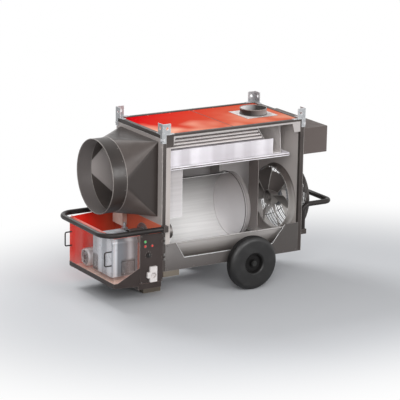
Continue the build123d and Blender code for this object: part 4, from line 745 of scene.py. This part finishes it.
# painted light and shade: pale low down and darker towards the top
cap_base = mix_colours(
    tree, along(tree, "Z", cap_low.z + 0.1, cap_high.z), (255, 252, 254), (158, 150, 148)
)
cap_base = mix_colours(tree, spread(tree, rings, -1, 1, 0, 0.1), cap_base, (120, 114, 112))
rim_band = spread(tree, reach, cap_r - 0.012, cap_r - 0.006, 0, 0.7)
cap_base = mix_colours(tree, rim_band, cap_base, (150, 144, 142))
tree.links.new(cap_base, shader.inputs["Base Color"])
tree.links.new(spread(tree, rings, -1, 1, 0.26, 0.38), shader.inputs["Roughness"])
relief(tree, shader, rings, 0.00006, 0.3)
dress(cap_steel, "chamber_rear_cap")

# %% [markdown]
# The exchanger's box is coated with pale stove enamel, a thin glass. Its long wall is never
# quite flat, and a noise that is stretched upwards gives it soft upright bands, both as a slight
# relief and as painted reflections in its colour. Dust has settled a touch darker here and there.

# %% Pale enamel, for the exchanger box
enamel, tree, shader = start_finish("pale_enamel", (232, 228, 233), 0.3, 0.0, 0.4)
# upright bands: a slight relief, and painted reflections in the colour
relief_and_reflection_bands = noise(tree, 9, 1, (1, 0.4, 0.02))
enamel_base = mix_colours(
    tree, spread(tree, relief_and_reflection_bands, 0.38, 0.62, 0, 1), (236, 233, 238), (206, 202, 207)
)
dusty = spread(tree, noise(tree, 9, 5), 0.4, 0.8, 0, 0.35)
enamel_base = mix_colours(tree, dusty, enamel_base, (196, 191, 192))
enamel_base = mix_colours(tree, worn_and_highlit_edges(tree, 0.004), enamel_base, (250, 249, 250))
tree.links.new(enamel_base, shader.inputs["Base Color"])
relief(tree, shader, relief_and_reflection_bands, 0.0015, 0.4)
dress(enamel, "exchanger_box")

# %% [markdown]
# The flue collar is black outside and is painted greyer to the rear as a painted sheen. Inside,
# it is painted near white on the outlet side as painted light that falls down it, and the rear
# side is painted dark as painted shade. One finish does all of it, because the surface itself
# tells whether it faces the pipe's own middle line.

# %% The flue collar, black outside, with painted light and shade inside
def inside_pipe(tree):
    return facing_line(tree, flue_middle, across_z)


def shaded_rear_inside_pipe(tree):
    return product(tree, inside_pipe(tree), along(tree, "X", flue_x - 0.04, flue_x + 0.07))


# painted sheen outside; painted light inside on the outlet side and painted shade at the rear
pipe_paint = powder_paint(
    "pipe_paint", (24, 22, 21), (36, 33, 31), (110, 104, 100), 0.34, 0.4,
    slope=("X", flue_x - 0.07, flue_x + 0.1, (176, 172, 170)),
    tints_and_painted_light=((inside_pipe, (250, 248, 248)), (shaded_rear_inside_pipe, (70, 66, 64))),
)
dress(pipe_paint, "flue_collar")

# %% [markdown]
# The tyres are solid rubber. Rubber is never quite black: it is a dark warm grey with a thin
# bloom of dust that lies in its grooves. The rims in their deep recess are satin black.

# %% Rubber and rims
rubber, tree, shader = start_finish("tyre_rubber", (22, 21, 21), 0.42)
dusty_rubber = mottled(tree, (11, 5, 0.48, 0.85), (21, 20, 20), (44, 43, 43))
tree.links.new(dusty_rubber, shader.inputs["Base Color"])
tree.links.new(spread(tree, noise(tree, 30, 3), 0.3, 0.7, 0.38, 0.52), shader.inputs["Roughness"])
relief(tree, shader, noise(tree, 300, 4), 0.0002, 0.4)
dress(rubber, "near_tyre", "far_tyre")
rim_paint = powder_paint("rim_paint", (20, 19, 19), (26, 25, 25), (36, 35, 34), 0.45, 0.15)
dress(rim_paint, "near_rim", "far_rim")

# %% [markdown]
# The burner's cover is red sheet, drawn see-through so that the burner shows. It is made as
# a thin clear sheet: a low alpha lets the view through, soft streaks in that alpha are painted
# reflections for its gloss, and a denser foot is a painted reflection low down. Its folded upper
# edge is seen along the sheet, where the colour is dense, and its other edges and folds show as
# faint lines.

# %% The see-through burner cover
cover_low, cover_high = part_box("burner_cover")
clear_red, tree, shader = start_finish("clear_red", (240, 190, 176), 0.25, 0.0, 0.2)
# painted reflections: streaks in the alpha and a denser foot
reflection_streaks = spread(tree, noise(tree, 8, 1, (1, 1, 0.05)), 0.42, 0.72, 0.02, 0.1)
dense = product(tree, along(tree, "Z", cover_high.z - 0.0045, cover_high.z - 0.002), 0.8)
foot_reflection = product(tree, along(tree, "Z", cover_low.z + 0.09, cover_low.z), 0.07)
sheet_edges = product(tree, worn_and_highlit_edges(tree, 0.003), 0.5)
alpha = joined(
    tree, "MAXIMUM", joined(tree, "ADD", reflection_streaks, foot_reflection), dense, sheet_edges
)
tree.links.new(alpha, shader.inputs["Alpha"])
sheet_colour = mix_colours(tree, dense, (242, 214, 206), (226, 74, 44))
tree.links.new(sheet_colour, shader.inputs["Base Color"])
dress(clear_red, "burner_cover")

# %% [markdown]
# The burner's hood is enamelled silver grey, with painted upright highlights, and its near side
# is painted darker than its front as painted shade. Behind its louvres it is painted dark as
# painted shade. The louvres' places are known, so masks along the axes pick them out, and a
# noise stretched upwards gives the painted highlights.

# %% The burner's hood
def shaded_louvre_zone(tree):
    side = product(
        tree, along(tree, "X", -0.764, -0.758), along(tree, "X", -0.644, -0.65),
        facing(tree, nearward),
    )
    front = product(tree, along(tree, "Y", -0.012, -0.006), facing(tree, frontward))
    zone = joined(tree, "MAXIMUM", side, front)
    return product(tree, zone, along(tree, "Z", 0.315, 0.295))


def painted_upright_highlights(tree):
    return spread(tree, noise(tree, 14, 1, (1, 1, 0.02)), 0.5, 0.68, 0, 0.8)


# painted shade on the near side and behind the louvres, painted highlights in upright streaks
hood_paint = powder_paint(
    "hood_paint", (160, 166, 173), (174, 180, 187), (214, 218, 223), 0.3, 0.4,
    slope=("Y", 0.05, -0.2, (170, 176, 183)), metal=0.1,
    tints_and_painted_light=(
        (nearward, (116, 122, 129)),
        (painted_upright_highlights, (224, 229, 235)),
        (shaded_louvre_zone, (56, 60, 62)),
    ),
)
dress(hood_paint, "burner_housing")

# %% [markdown]
# The burner's motor is bare alloy with a slotted middle at its outer end, through which it
# draws its air; that middle is painted near black as painted shade in its recess. The distance
# from the motor's own line picks out that round spot.

# %% The burner's motor
motor_y, motor_z = 0.207, 0.231
fan_case_front_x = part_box("burner_motor")[0].x
silver, tree, shader = start_finish("burner_silver", (196, 195, 197), 0.32, 0.4)
reach = from_line(tree, (0, motor_y, motor_z), across_x)
# painted shade: the slotted middle is painted near black
recess_shade_spot = product(
    tree,
    spread(tree, reach, 0.05, 0.053, 1, 0),
    along(tree, "X", fan_case_front_x + 0.012, fan_case_front_x + 0.004),
)
silver_base = mottled(tree, (40, 4, 0.35, 0.7), (190, 189, 191), (212, 211, 213))
silver_base = mix_colours(tree, recess_shade_spot, silver_base, (62, 58, 58))
silver_base = mix_colours(tree, worn_and_highlit_edges(tree, 0.004), silver_base, (228, 227, 228))
tree.links.new(silver_base, shader.inputs["Base Color"])
relief(tree, shader, noise(tree, 300, 3), 0.0002, 0.4)
dress(silver, "burner_motor")

# %% [markdown]
# What is left is moulded, cast, drawn or woven, and one helper makes it all: a colour that
# wanders, a grain in relief and, where it is handled or cut, brighter edges. The bow handles
# and the knob are black plastic with a fine grain, the power inlet is light grey and the
# junction box a pale beige. The fuel pump is a casting, pitted and coarser than paint, and
# its copper pipes are bright where they were bent and browner where they were held.

# %% Mottled finishes: plastics, casting and copper
def mottled_finish(
    name, colour, other, roughness, pattern, grain, metal=0.0, gloss=0.5, edge=None
):
    """Returns a finish whose colour wanders to another.

    pattern is (scale, detail, low, high), grain (scale, detail, depth, strength), and edge
    (width, colour).
    """
    finish, tree, shader = start_finish(name, colour, roughness, metal, gloss)
    base = mottled(tree, pattern, colour, other)
    if edge:
        width, edge_colour = edge
        base = mix_colours(tree, worn_and_highlit_edges(tree, width), base, edge_colour)
    tree.links.new(base, shader.inputs["Base Color"])
    scale, detail, depth, strength = grain
    relief(tree, shader, noise(tree, scale, detail), depth, strength)
    return finish


for name, colour, other, edge_colour, roughness, names in (
    (
        "black_plastic", (30, 28, 28), (42, 40, 40), (70, 67, 66), 0.42,
        ["cover_handles", "selector_knob"],
    ),
    (
        "grey_plastic", (206, 200, 198), (218, 213, 211), (150, 142, 140), 0.45,
        ["power_inlet"],
    ),
    (
        "beige_plastic", (222, 200, 186), (230, 212, 200), (242, 230, 222), 0.42,
        ["junction_box"],
    ),
):
    plastic = mottled_finish(
        name, colour, other, roughness, (20, 4, 0.4, 0.7), (900, 2, 0.0001, 0.5),
        gloss=0.4, edge=(0.002, edge_colour),
    )
    dress(plastic, *names)
cast_alloy = mottled_finish(
    "cast_alloy", (150, 149, 150), (186, 185, 187), 0.4, (60, 5, 0.35, 0.7),
    (500, 4, 0.0004, 0.6), metal=0.5, edge=(0.003, (226, 225, 226)),
)
dress(cast_alloy, "fuel_pump")
copper = mottled_finish(
    "copper", (206, 140, 104), (140, 84, 58), 0.3, (40, 4, 0.4, 0.7),
    (200, 2, 0.0001, 0.3), metal=0.9,
)
dress(copper, "fuel_pipes")

# %% [markdown]
# The lamps and the lit reset button are coloured lenses over a reflector. A clear coat and
# a deep colour are enough at this size, with a faint ribbing as moulded lenses have.

# %% Lenses
def lens(name, colour, deep):
    """Returns a lens finish with a clear coat."""
    finish, tree, shader = start_finish(name, colour, 0.25)
    ribs = spread(tree, noise(tree, 160, 2), 0.35, 0.65, 0, 1)
    tree.links.new(mix_colours(tree, ribs, colour, deep), shader.inputs["Base Color"])
    shader.inputs["Coat Weight"].default_value = 0.6
    shader.inputs["Coat Roughness"].default_value = 0.08
    relief(tree, shader, ribs, 0.0002, 0.3)
    return finish


dress(lens("green_lens", (120, 214, 130), (60, 160, 80)), "green_lamp")
dress(lens("red_lens", (232, 84, 74), (190, 40, 36)), "red_lamp", "reset_button")

# %% [markdown]
# Now the small things that the measured model leaves to this lesson: bolts, screws, rivets,
# rolled beads, seals, dial marks and the finer rings of the guard. Each is modelled once by
# hand, starting from a primitive that is inset, extruded and bevelled in edit mode. A fixing
# that repeats is then copied to its places, each copy with its own mesh.

# %% Helpers for shaping by hand
def mm(x, y, z):
    """Returns a place that is given in millimetres."""
    return Vector((x, y, z)) / 1000


def only(piece):
    """Selects one piece alone and makes it the active one."""
    bpy.ops.object.select_all(action="DESELECT")
    piece.select_set(True)
    bpy.context.view_layer.objects.active = piece


def pick_end(piece, axis):
    """In edit mode, selects the outermost face that points along an axis, 0 for X to 2 for Z."""
    bpy.ops.mesh.select_mode(type="FACE")
    bpy.ops.mesh.select_all(action="DESELECT")
    shape = bmesh.from_edit_mesh(piece.data)
    end = max(face.calc_center_median()[axis] for face in shape.faces)
    for face in shape.faces:
        if face.normal[axis] > 0.9 and face.calc_center_median()[axis] > end - 1e-6:
            face.select_set(True)
    bmesh.update_edit_mesh(piece.data)


def apply_place(piece):
    """Puts a piece's place, turn and scale into its mesh."""
    only(piece)
    bpy.ops.object.transform_apply(location=True, rotation=True, scale=True)


def merge(parts):
    """Joins parts to one piece and returns it."""
    only(parts[0])
    for part in parts[1:]:
        part.select_set(True)
    bpy.ops.object.join()
    return bpy.context.object


def copy_of(template, placed):
    """Returns a copy of a template with its own mesh, at a matrix."""
    only(template)
    bpy.ops.object.duplicate(linked=False)
    bpy.context.object.matrix_world = placed
    return bpy.context.object


# %% Helpers for fitting pieces to the heater
def fit(piece, name, finish, body="casing"):
    """Names a piece, puts its place into its mesh, dresses it and lets it ride on a body."""
    apply_place(piece)
    piece.name = name
    piece.data.materials.clear()
    piece.data.materials.append(finish)
    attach(piece, body)
    print(name, "on", body, "with", len(piece.data.polygons), "faces")


def set_out(template, name, spots, finish, body="casing"):
    """Copies a template to every (place, direction), its top pointing that way, as one piece."""
    copies = []
    for place, direction in spots:
        turned = Vector(direction).to_track_quat("Z", "Y").to_matrix().to_4x4()
        copies.append(copy_of(template, Matrix.Translation(place) @ turned))
    fit(merge(copies), name, finish, body)


# %% [markdown]
# A hexagon bolt head sits on a washer and has a chamfered top. A six-sided cylinder gives the
# head and a sixteen-sided one the washer. Their top faces are inset and moved up a little,
# which makes the chamfers with very few faces, so dozens of copies stay light.

# %% Templates: hexagon bolt, pan-head screw and rivet
def capped_cylinder(sides, radius, depth, bottom, inwards, upwards):
    """Models a cylinder on a height, whose top face is inset and moved up to a chamfer."""
    bpy.ops.mesh.primitive_cylinder_add(
        vertices=sides, radius=radius, depth=depth, location=(0, 0, bottom + depth / 2)
    )
    cylinder = bpy.context.object
    bpy.ops.object.mode_set(mode="EDIT")
    pick_end(cylinder, 2)
    bpy.ops.mesh.inset(thickness=inwards)
    bpy.ops.transform.translate(value=(0, 0, upwards))
    bpy.ops.object.mode_set(mode="OBJECT")
    return cylinder


def hexagon_bolt(across):
    """Models a hexagon head on its washer; across is its width over the flats."""
    washer_depth, head_bottom = across * 0.12, across * 0.13
    washer = capped_cylinder(
        16, across * 0.68, washer_depth, 0, across * 0.06, across * 0.03
    )
    head = capped_cylinder(
        6, across / math.sqrt(3), across * 0.5, head_bottom, across * 0.08, across * 0.06
    )
    bolt = merge([washer, head])
    bolt.name = "bolt_template"
    apply_place(bolt)
    return bolt


def pan_screw(radius):
    """Models a pan-head screw with its driver socket."""
    screw = capped_cylinder(12, radius, radius * 0.4, 0, radius * 0.3, radius * 0.16)
    socket_depth = radius * 0.28
    bpy.ops.object.mode_set(mode="EDIT")
    bpy.ops.mesh.inset(thickness=radius * 0.28)
    bpy.ops.mesh.extrude_region_move(TRANSFORM_OT_translate={"value": (0, 0, -socket_depth)})
    bpy.ops.object.mode_set(mode="OBJECT")
    apply_place(screw)
    screw.name = "screw_template"
    return screw


def dome_rivet(radius):
    """Models a rivet: half a small ball, flattened."""
    bpy.ops.mesh.primitive_uv_sphere_add(segments=10, ring_count=6, radius=radius)
    rivet = bpy.context.object
    bpy.ops.object.mode_set(mode="EDIT")
    bpy.ops.mesh.select_all(action="SELECT")
    bpy.ops.mesh.bisect(
        plane_co=(0, 0, 0), plane_no=(0, 0, 1), clear_inner=True, use_fill=True
    )
    bpy.ops.mesh.select_all(action="SELECT")
    bpy.ops.transform.resize(value=(1, 1, 0.5))
    bpy.ops.object.mode_set(mode="OBJECT")
    rivet.name = "rivet_template"
    bpy.ops.object.shade_smooth_by_angle(angle=math.radians(50))
    return rivet


bolt = hexagon_bolt(0.013)
small_bolt = hexagon_bolt(0.008)
screw = pan_screw(0.0055)
small_screw = pan_screw(0.003)
rivet = dome_rivet(0.0045)
for template in (bolt, small_bolt, screw, small_screw, rivet):
    print(template.name, len(template.data.polygons), "faces")

# %% [markdown]
# Sheet edges of ducts are rolled to a bead, so that they are stiff and don't cut. A bead is a
# small round section that goes once round the duct's middle line. Spin does just that. It
# leaves a doubled seam where the ring closes, so doubles are merged, and after that the
# normals are recalculated, because a spin can turn them inwards.

# %% Helpers: a spun ring and a soft-edged strip
def spun_ring(middle, radius, thick, axis="X", steps=72, corners=8):
    """Spins a round section into a ring; middle in millimetres, radius and thick too."""
    centre = mm(*middle)
    quarter = math.pi / 2
    line, across, lean = {
        "X": (rearward, Vector(skyward), (quarter, 0, 0)),
        "Y": (farward, Vector(skyward), (0, quarter, 0)),
        "Z": (skyward, Vector(rearward), (quarter, 0, 0)),
    }[axis]
    bpy.ops.mesh.primitive_circle_add(
        vertices=corners,
        radius=thick / 1000,
        location=centre + across * (radius / 1000),
        rotation=lean,
    )
    ring = bpy.context.object
    apply_place(ring)
    bpy.ops.object.mode_set(mode="EDIT")
    bpy.ops.mesh.select_all(action="SELECT")
    bpy.ops.mesh.spin(steps=steps, angle=math.tau, center=centre, axis=line)
    bpy.ops.mesh.select_all(action="SELECT")
    bpy.ops.mesh.remove_doubles(threshold=0.00005)
    bpy.ops.mesh.normals_make_consistent(inside=False)
    bpy.ops.object.mode_set(mode="OBJECT")
    bpy.ops.object.shade_smooth_by_angle(angle=math.radians(60))
    return ring


def strip(low, high, soft):
    """Models a bar between two corners in millimetres, with bevelled edges."""
    low, high = mm(*low), mm(*high)
    bpy.ops.mesh.primitive_cube_add(size=1, location=(low + high) / 2)
    bar = bpy.context.object
    bpy.ops.object.mode_set(mode="EDIT")
    bpy.ops.mesh.select_all(action="SELECT")
    bpy.ops.transform.resize(value=high - low)
    bpy.ops.mesh.bevel(offset=soft / 1000, segments=2, affect="EDGES")
    bpy.ops.object.mode_set(mode="OBJECT")
    bpy.ops.object.shade_smooth_by_angle(angle=math.radians(50))
    return bar


print("ring and strip helpers ready")

# %% [markdown]
# A few finishes are only for these small pieces: plated fixings, painted fixings in the
# colour round them, soft dark seals, pale marks, and cut or rolled edges that stay bright, the
# cut one partly as a painted highlight.

# %% Finishes of the small pieces
plated = zinc_coat(
    "plated_fixing", (168, 168, 170), (196, 196, 198), (232, 232, 234), 500, 0.36
)
dark_fixing = powder_paint(
    "dark_fixing", (62, 56, 54), (80, 74, 71), (150, 144, 140), 0.4, 0.35
)
wall_fixing = powder_paint(
    "wall_fixing", (158, 151, 147), (168, 161, 157), (196, 190, 186), 0.4, 0.35
)
red_fixing = powder_paint(
    "red_fixing", (206, 34, 24), (216, 60, 44), (244, 150, 120), 0.36, 0.3
)
cut_edge_and_highlight = zinc_coat(
    "cut_edge_and_highlight", (226, 224, 222), (244, 243, 242), (250, 250, 250), 160, 0.4, 0.1
)
mouth_edge = zinc_coat(
    "mouth_edge", (112, 105, 102), (134, 127, 123), (176, 170, 166), 160, 0.4, 0.1
)
seal = mottled_finish(
    "seal", (84, 74, 71), (122, 112, 108), 0.7, (70, 5, 0.35, 0.7), (500, 3, 0.0004, 0.6),
    gloss=0.25,
)
pale_mark = mottled_finish(
    "pale_mark", (156, 152, 148), (130, 126, 122), 0.45, (90, 4, 0.4, 0.7),
    (600, 2, 0.0001, 0.3),
)
# dark felt: painted shade behind the hood's louvres
shade_felt_finish = mottled_finish(
    "louvre_shade_felt", (34, 32, 31), (56, 53, 52), 0.9, (300, 5, 0.35, 0.7), (900, 3, 0.0006, 0.8),
    gloss=0.1,
)
print("small finishes made")

# %% [markdown]
# The roof is two panels that meet over the middle. The joint between them is filled with a
# dark sealing strip, so that no rain runs into the casing, and the panels are screwed down
# along their edges. The flue plate has eight screws, and the flue collar stands in a weld.

# %% Roof: sealing strip, screws, flue plate screws and the flue's beads
roof_top, plate_top = 1214, 1216
flue_mm = 471.5
fit(strip((109.5, -306, 1213.9), (113.5, 306, 1215.4), 0.4), "roof_seal", seal)
roof_spots = [
    (mm(x, y, roof_top), skyward)
    for y in (-292, 292)
    for x in (-448, -262, -76, 92, 131, 300, 652)
]
set_out(screw, "roof_screws", roof_spots, red_fixing)
plate_spots = [
    (mm(flue_mm + x, y, plate_top), skyward)
    for x in (-120, 0, 120)
    for y in (-120, 0, 120)
    if x or y
]
set_out(screw, "flue_plate_screws", plate_spots, plated)
for name, z, radius, thick, finish in (
    ("flue_rim_bead", 1259, 99.5, 2.8, mouth_edge),
    ("flue_weld", 1217, 101.5, 3.2, dark_fixing),
):
    fit(spun_ring((flue_mm, 0, z), radius, thick, "Z"), name, finish)

# %% [markdown]
# The lifting lugs carry the whole heater on a crane, so each leaf is held by a hexagon bolt
# through the corner post. The tube sockets pinch their tube with a bolt from above.

# %% Bolts on the lugs and the tube sockets
lug_z, leaf_inset = 1184, 14
lug_spots = []
for x, outwards in ((-505.5, -1), (708.5, 1)):
    for y, sidewards in ((-342, -1), (342, 1)):
        lug_spots.append((mm(x - outwards * leaf_inset, y, lug_z), (0, sidewards, 0)))
        lug_spots.append((mm(x, y - sidewards * leaf_inset, lug_z), (outwards, 0, 0)))
set_out(bolt, "lug_bolts", lug_spots, plated)
socket_spots = [(mm(-489, y, 562), skyward) for y in (-358, 358)]
set_out(small_bolt, "socket_bolts", socket_spots, dark_fixing)

# %% [markdown]
# The side panel, the skirt and the walls are riveted or screwed to the frame at a steady
# pitch. A steady pitch is what makes such rows look like factory work, so each row is worked
# out from its ends, and a table holds the ends and the count of every row.

# %% Rows of rivets and screws on the sheets
def rows(direction, *ends):
    """Returns spots that face one way, in rows (start, end, count) given in millimetres."""
    return [
        (Vector(start).lerp(Vector(end), step / (count - 1)) / 1000, direction)
        for start, end, count in ends
        for step in range(count)
    ]


panel_front, panel_rear = -452, 655
far_y, near_y = 339, -339
far_rows = rows(
    farward,
    ((panel_front, far_y, 232), (panel_rear, far_y, 232), 11),
    ((panel_front, far_y, 1174), (panel_rear, far_y, 1174), 11),
    ((panel_front, far_y, 340), (panel_front, far_y, 1066), 6),
    ((panel_rear, far_y, 340), (panel_rear, far_y, 1066), 6),
)
near_rows = rows(
    nearward,
    ((panel_front, near_y, 228), (panel_rear, near_y, 228), 11),
    ((panel_front, near_y, 300), (panel_front, near_y, 402), 2),
)
front_x, rear_x = -500.5, 703.5
front_rows = rows(
    frontward,
    ((front_x, -322, 600), (front_x, -322, 1130), 6),
    ((front_x, 322, 600), (front_x, 322, 1130), 6),
)
rear_rows = rows(
    rearward,
    ((rear_x, -322, 620), (rear_x, -322, 930), 3),
    ((rear_x, 322, 620), (rear_x, 322, 930), 3),
    ((rear_x, -290, 228), (rear_x, 290, 228), 5),
    ((rear_x, -290, 1174), (rear_x, 290, 1174), 5),
)
box_y, box_front, box_rear = 337, 718, 895
box_rows = [
    spot
    for way, y in ((nearward, -box_y), (farward, box_y))
    for spot in rows(
        way,
        ((box_front, y, 966), (box_front, y, 1131), 3),
        ((box_rear, y, 966), (box_rear, y, 1131), 3),
    )
]
cheek_y = 337
cheek_rows = rows(
    farward,
    ((-868, cheek_y, 130), (-520, cheek_y, 130), 4),
    ((-868, cheek_y, 518), (-520, cheek_y, 518), 4),
)
for template, name, spots, slot, finish in (
    (rivet, "far_side_rivets", far_rows, "side_paint", dark_fixing),
    (rivet, "skirt_rivets", near_rows, "side_paint", dark_fixing),
    (screw, "front_wall_screws", front_rows, "wall_paint", wall_fixing),
    (screw, "rear_wall_screws", rear_rows, "wall_paint", plated),
    (rivet, "rear_box_rivets", box_rows, "side_paint", dark_fixing),
    (rivet, "cheek_rivets", cheek_rows, "red_paint", red_fixing),
):
    set_out(template, name, spots, finish)

# %% [markdown]
# The skirt's cut-out shows the bare cut edge of its sheet as a bright line, which is partly
# a painted highlight along the cut. It is modelled as a thin bead: a small bar is started at one
# end of the cut, and its end face is extruded from corner to corner, as one would pull a wire
# along the edge.

# %% The bright cut edge of the skirt
def edge_bead(corners, y, width, thick):
    """Pulls a thin bar along corners (x, z) in millimetres at one y."""
    first = Vector((corners[0][0], y, corners[0][1]))
    half = Vector((0.5, thick / 2, width / 2))
    bar = strip(first - half, first + half, 0.2)
    apply_place(bar)
    bpy.ops.object.mode_set(mode="EDIT")
    for here, there in zip(corners, corners[1:]):
        pick_end(bar, 0)
        bpy.ops.mesh.extrude_region_move(
            TRANSFORM_OT_translate={"value": mm(there[0] - here[0], 0, there[1] - here[1])}
        )
    bpy.ops.object.mode_set(mode="OBJECT")
    return bar


skirt_cut = [(-380.5, 415), (-311.5, 300), (445.5, 300), (556.5, 434)]
# the bright bead is partly bare metal, partly a painted highlight
fit(edge_bead(skirt_cut, -339.2, 4.5, 1.6), "skirt_cut_highlight", cut_edge_and_highlight)

# %% [markdown]
# A dark rope of mineral wool seals the exchanger's tray against its box, between the tray's
# two bright rims. The chamber's cap is welded on all round, and the outlet's mouth and its
# joint to the transition are rolled to beads.

# %% Seals and beads of the fire side and the outlet
outlet_z, mouth_x, joint_x = 888, -860, -748
tray_rope = strip((-405, -303.6, 952.5), (597, -299.8, 958.5), 1.4)
fit(tray_rope, "tray_seal", seal)
fit(spun_ring((262.5, 0, 544), 250, 2.6), "cap_weld", dark_fixing)
fit(spun_ring((mouth_x, 0, outlet_z), 270.5, 3.4), "mouth_bead", mouth_edge)
fit(spun_ring((joint_x, 0, outlet_z), 271.5, 3.2), "collar_bead", mouth_edge)

# %% [markdown]
# The collar is held to the transition by small screws all round, with their heads outwards.
# Their places come from a circle round the outlet's line, and each head is turned to face
# away from that line. The same helper serves the fan ring and the burner's motor later.

# %% Screws round the outlet collar
def round_spots(middle, radius, count, direction=None):
    """Returns spots round a line along X, which face outwards or in a direction."""
    spots = []
    for step in range(count):
        angle = math.tau * (step + 0.5) / count
        outwards = Vector((0, math.cos(angle), math.sin(angle)))
        spots.append((mm(*middle) + outwards * (radius / 1000), direction or outwards))
    return spots


joint_spots = round_spots((joint_x - 14, 0, outlet_z), 271.8, 16)
set_out(small_screw, "collar_screws", joint_spots, dark_fixing)

# %% [markdown]
# The guard's wires stand close, because no finger may reach the blades. The measured model
# carries the strong rings and the spokes. The thinner rings between them are spun here, with
# a five-cornered section that is enough for a wire of three millimetres.

# %% The finer rings of the fan guard
fan_z, guard_x, guard_depth, guard_reach = 556, 706.3, 168, 288
ring_count = 12
guard_rings = []
for step in range(ring_count):
    lean = math.radians(90 * (1 - ((step + 0.5) / ring_count) ** 1.5))
    out_x = guard_x + guard_depth * math.cos(lean) ** (2 / 3)
    reach = guard_reach * math.sin(lean) ** (2 / 3)
    guard_rings.append(spun_ring((out_x, 0, fan_z), reach, 1.7, "X", 48, 5))
fit(merge(guard_rings), "guard_fine_rings", wire_paint)
ring_spots = round_spots((guard_x, 0, fan_z), 264, 12, rearward)
set_out(rivet, "fan_ring_rivets", ring_spots, plated)

# %% [markdown]
# The control door carries the lamps, the reset button, the thermostat knob and the power
# inlet. Each lamp sits in a small dark bezel. The knob has a pale line on its bar, and
# the door has tick marks round it. The marks are one tick, copied and turned round the knob.

# %% Bezels, dial marks, pointer and screws of the control door
bezel_y = -342.2
knob_middle = mm(-609.5, 0, 357)
bezels = [
    spun_ring((x, bezel_y, z), radius, 1.5, "Y", 24)
    for x, z, radius in ((-637.5, 459, 11), (-637.5, 425, 11), (-582.5, 425, 10.5))
]
fit(merge(bezels), "lamp_bezels", dark_fixing, "door")
tick = strip((-0.9, -342.0, 24), (0.9, -341.3, 30), 0.15)
apply_place(tick)
ticks = [
    copy_of(
        tick, Matrix.Translation(knob_middle) @ Matrix.Rotation(math.radians(turn_by), 4, "Y")
    )
    for turn_by in range(-120, 121, 40)
]
fit(merge(ticks), "dial_marks", pale_mark, "door")
pointer = strip((-610.5, -357.3, 359), (-608.5, -356.4, 372), 0.2)
fit(pointer, "knob_pointer", pale_mark, "knob")
door_corners = [(mm(x, -341.5, z), nearward) for x in (-667, -499) for z in (159, 502)]
set_out(screw, "door_screws", door_corners, dark_fixing, "door")
inlet_corners = [(mm(x, -355.5, z), nearward) for x in (-596, -550) for z in (163, 264)]
set_out(small_screw, "inlet_screws", inlet_corners, plated, "door")

# %% [markdown]
# Black felt strips sit behind the burner hood's louvres as painted shade, which makes the
# louvres look dark. The hood's screws, the motor's bolts and the junction box's lid screws are
# copies of the small templates.

# %% Felt as painted shade, screws and bolts of the burner
louvre_shade_felt = [
    strip((-765, -212.6, 200), (-648, -211.0, 298), 0.3),
    strip((-836.2, -12, 202), (-834.8, 54, 312), 0.3),
]
fit(merge(louvre_shade_felt), "hood_louvre_shade", shade_felt_finish)
hood_spots = [(mm(x, -215, 203), nearward) for x in (-815, -735, -652)]
set_out(small_screw, "hood_screws", hood_spots, plated)
motor_spots = round_spots((-828.5, motor_y * 1000, motor_z * 1000), 58, 4, frontward)
set_out(small_bolt, "motor_bolts", motor_spots, plated)
lid_spots = [(mm(-542.8, y, z), frontward) for y in (174, 298) for z in (450, 550)]
set_out(small_screw, "junction_lid_screws", lid_spots, plated)

# %% The templates have done their work
for template in (bolt, small_bolt, screw, small_screw, rivet, tick):
    only(template)
    bpy.ops.object.delete()
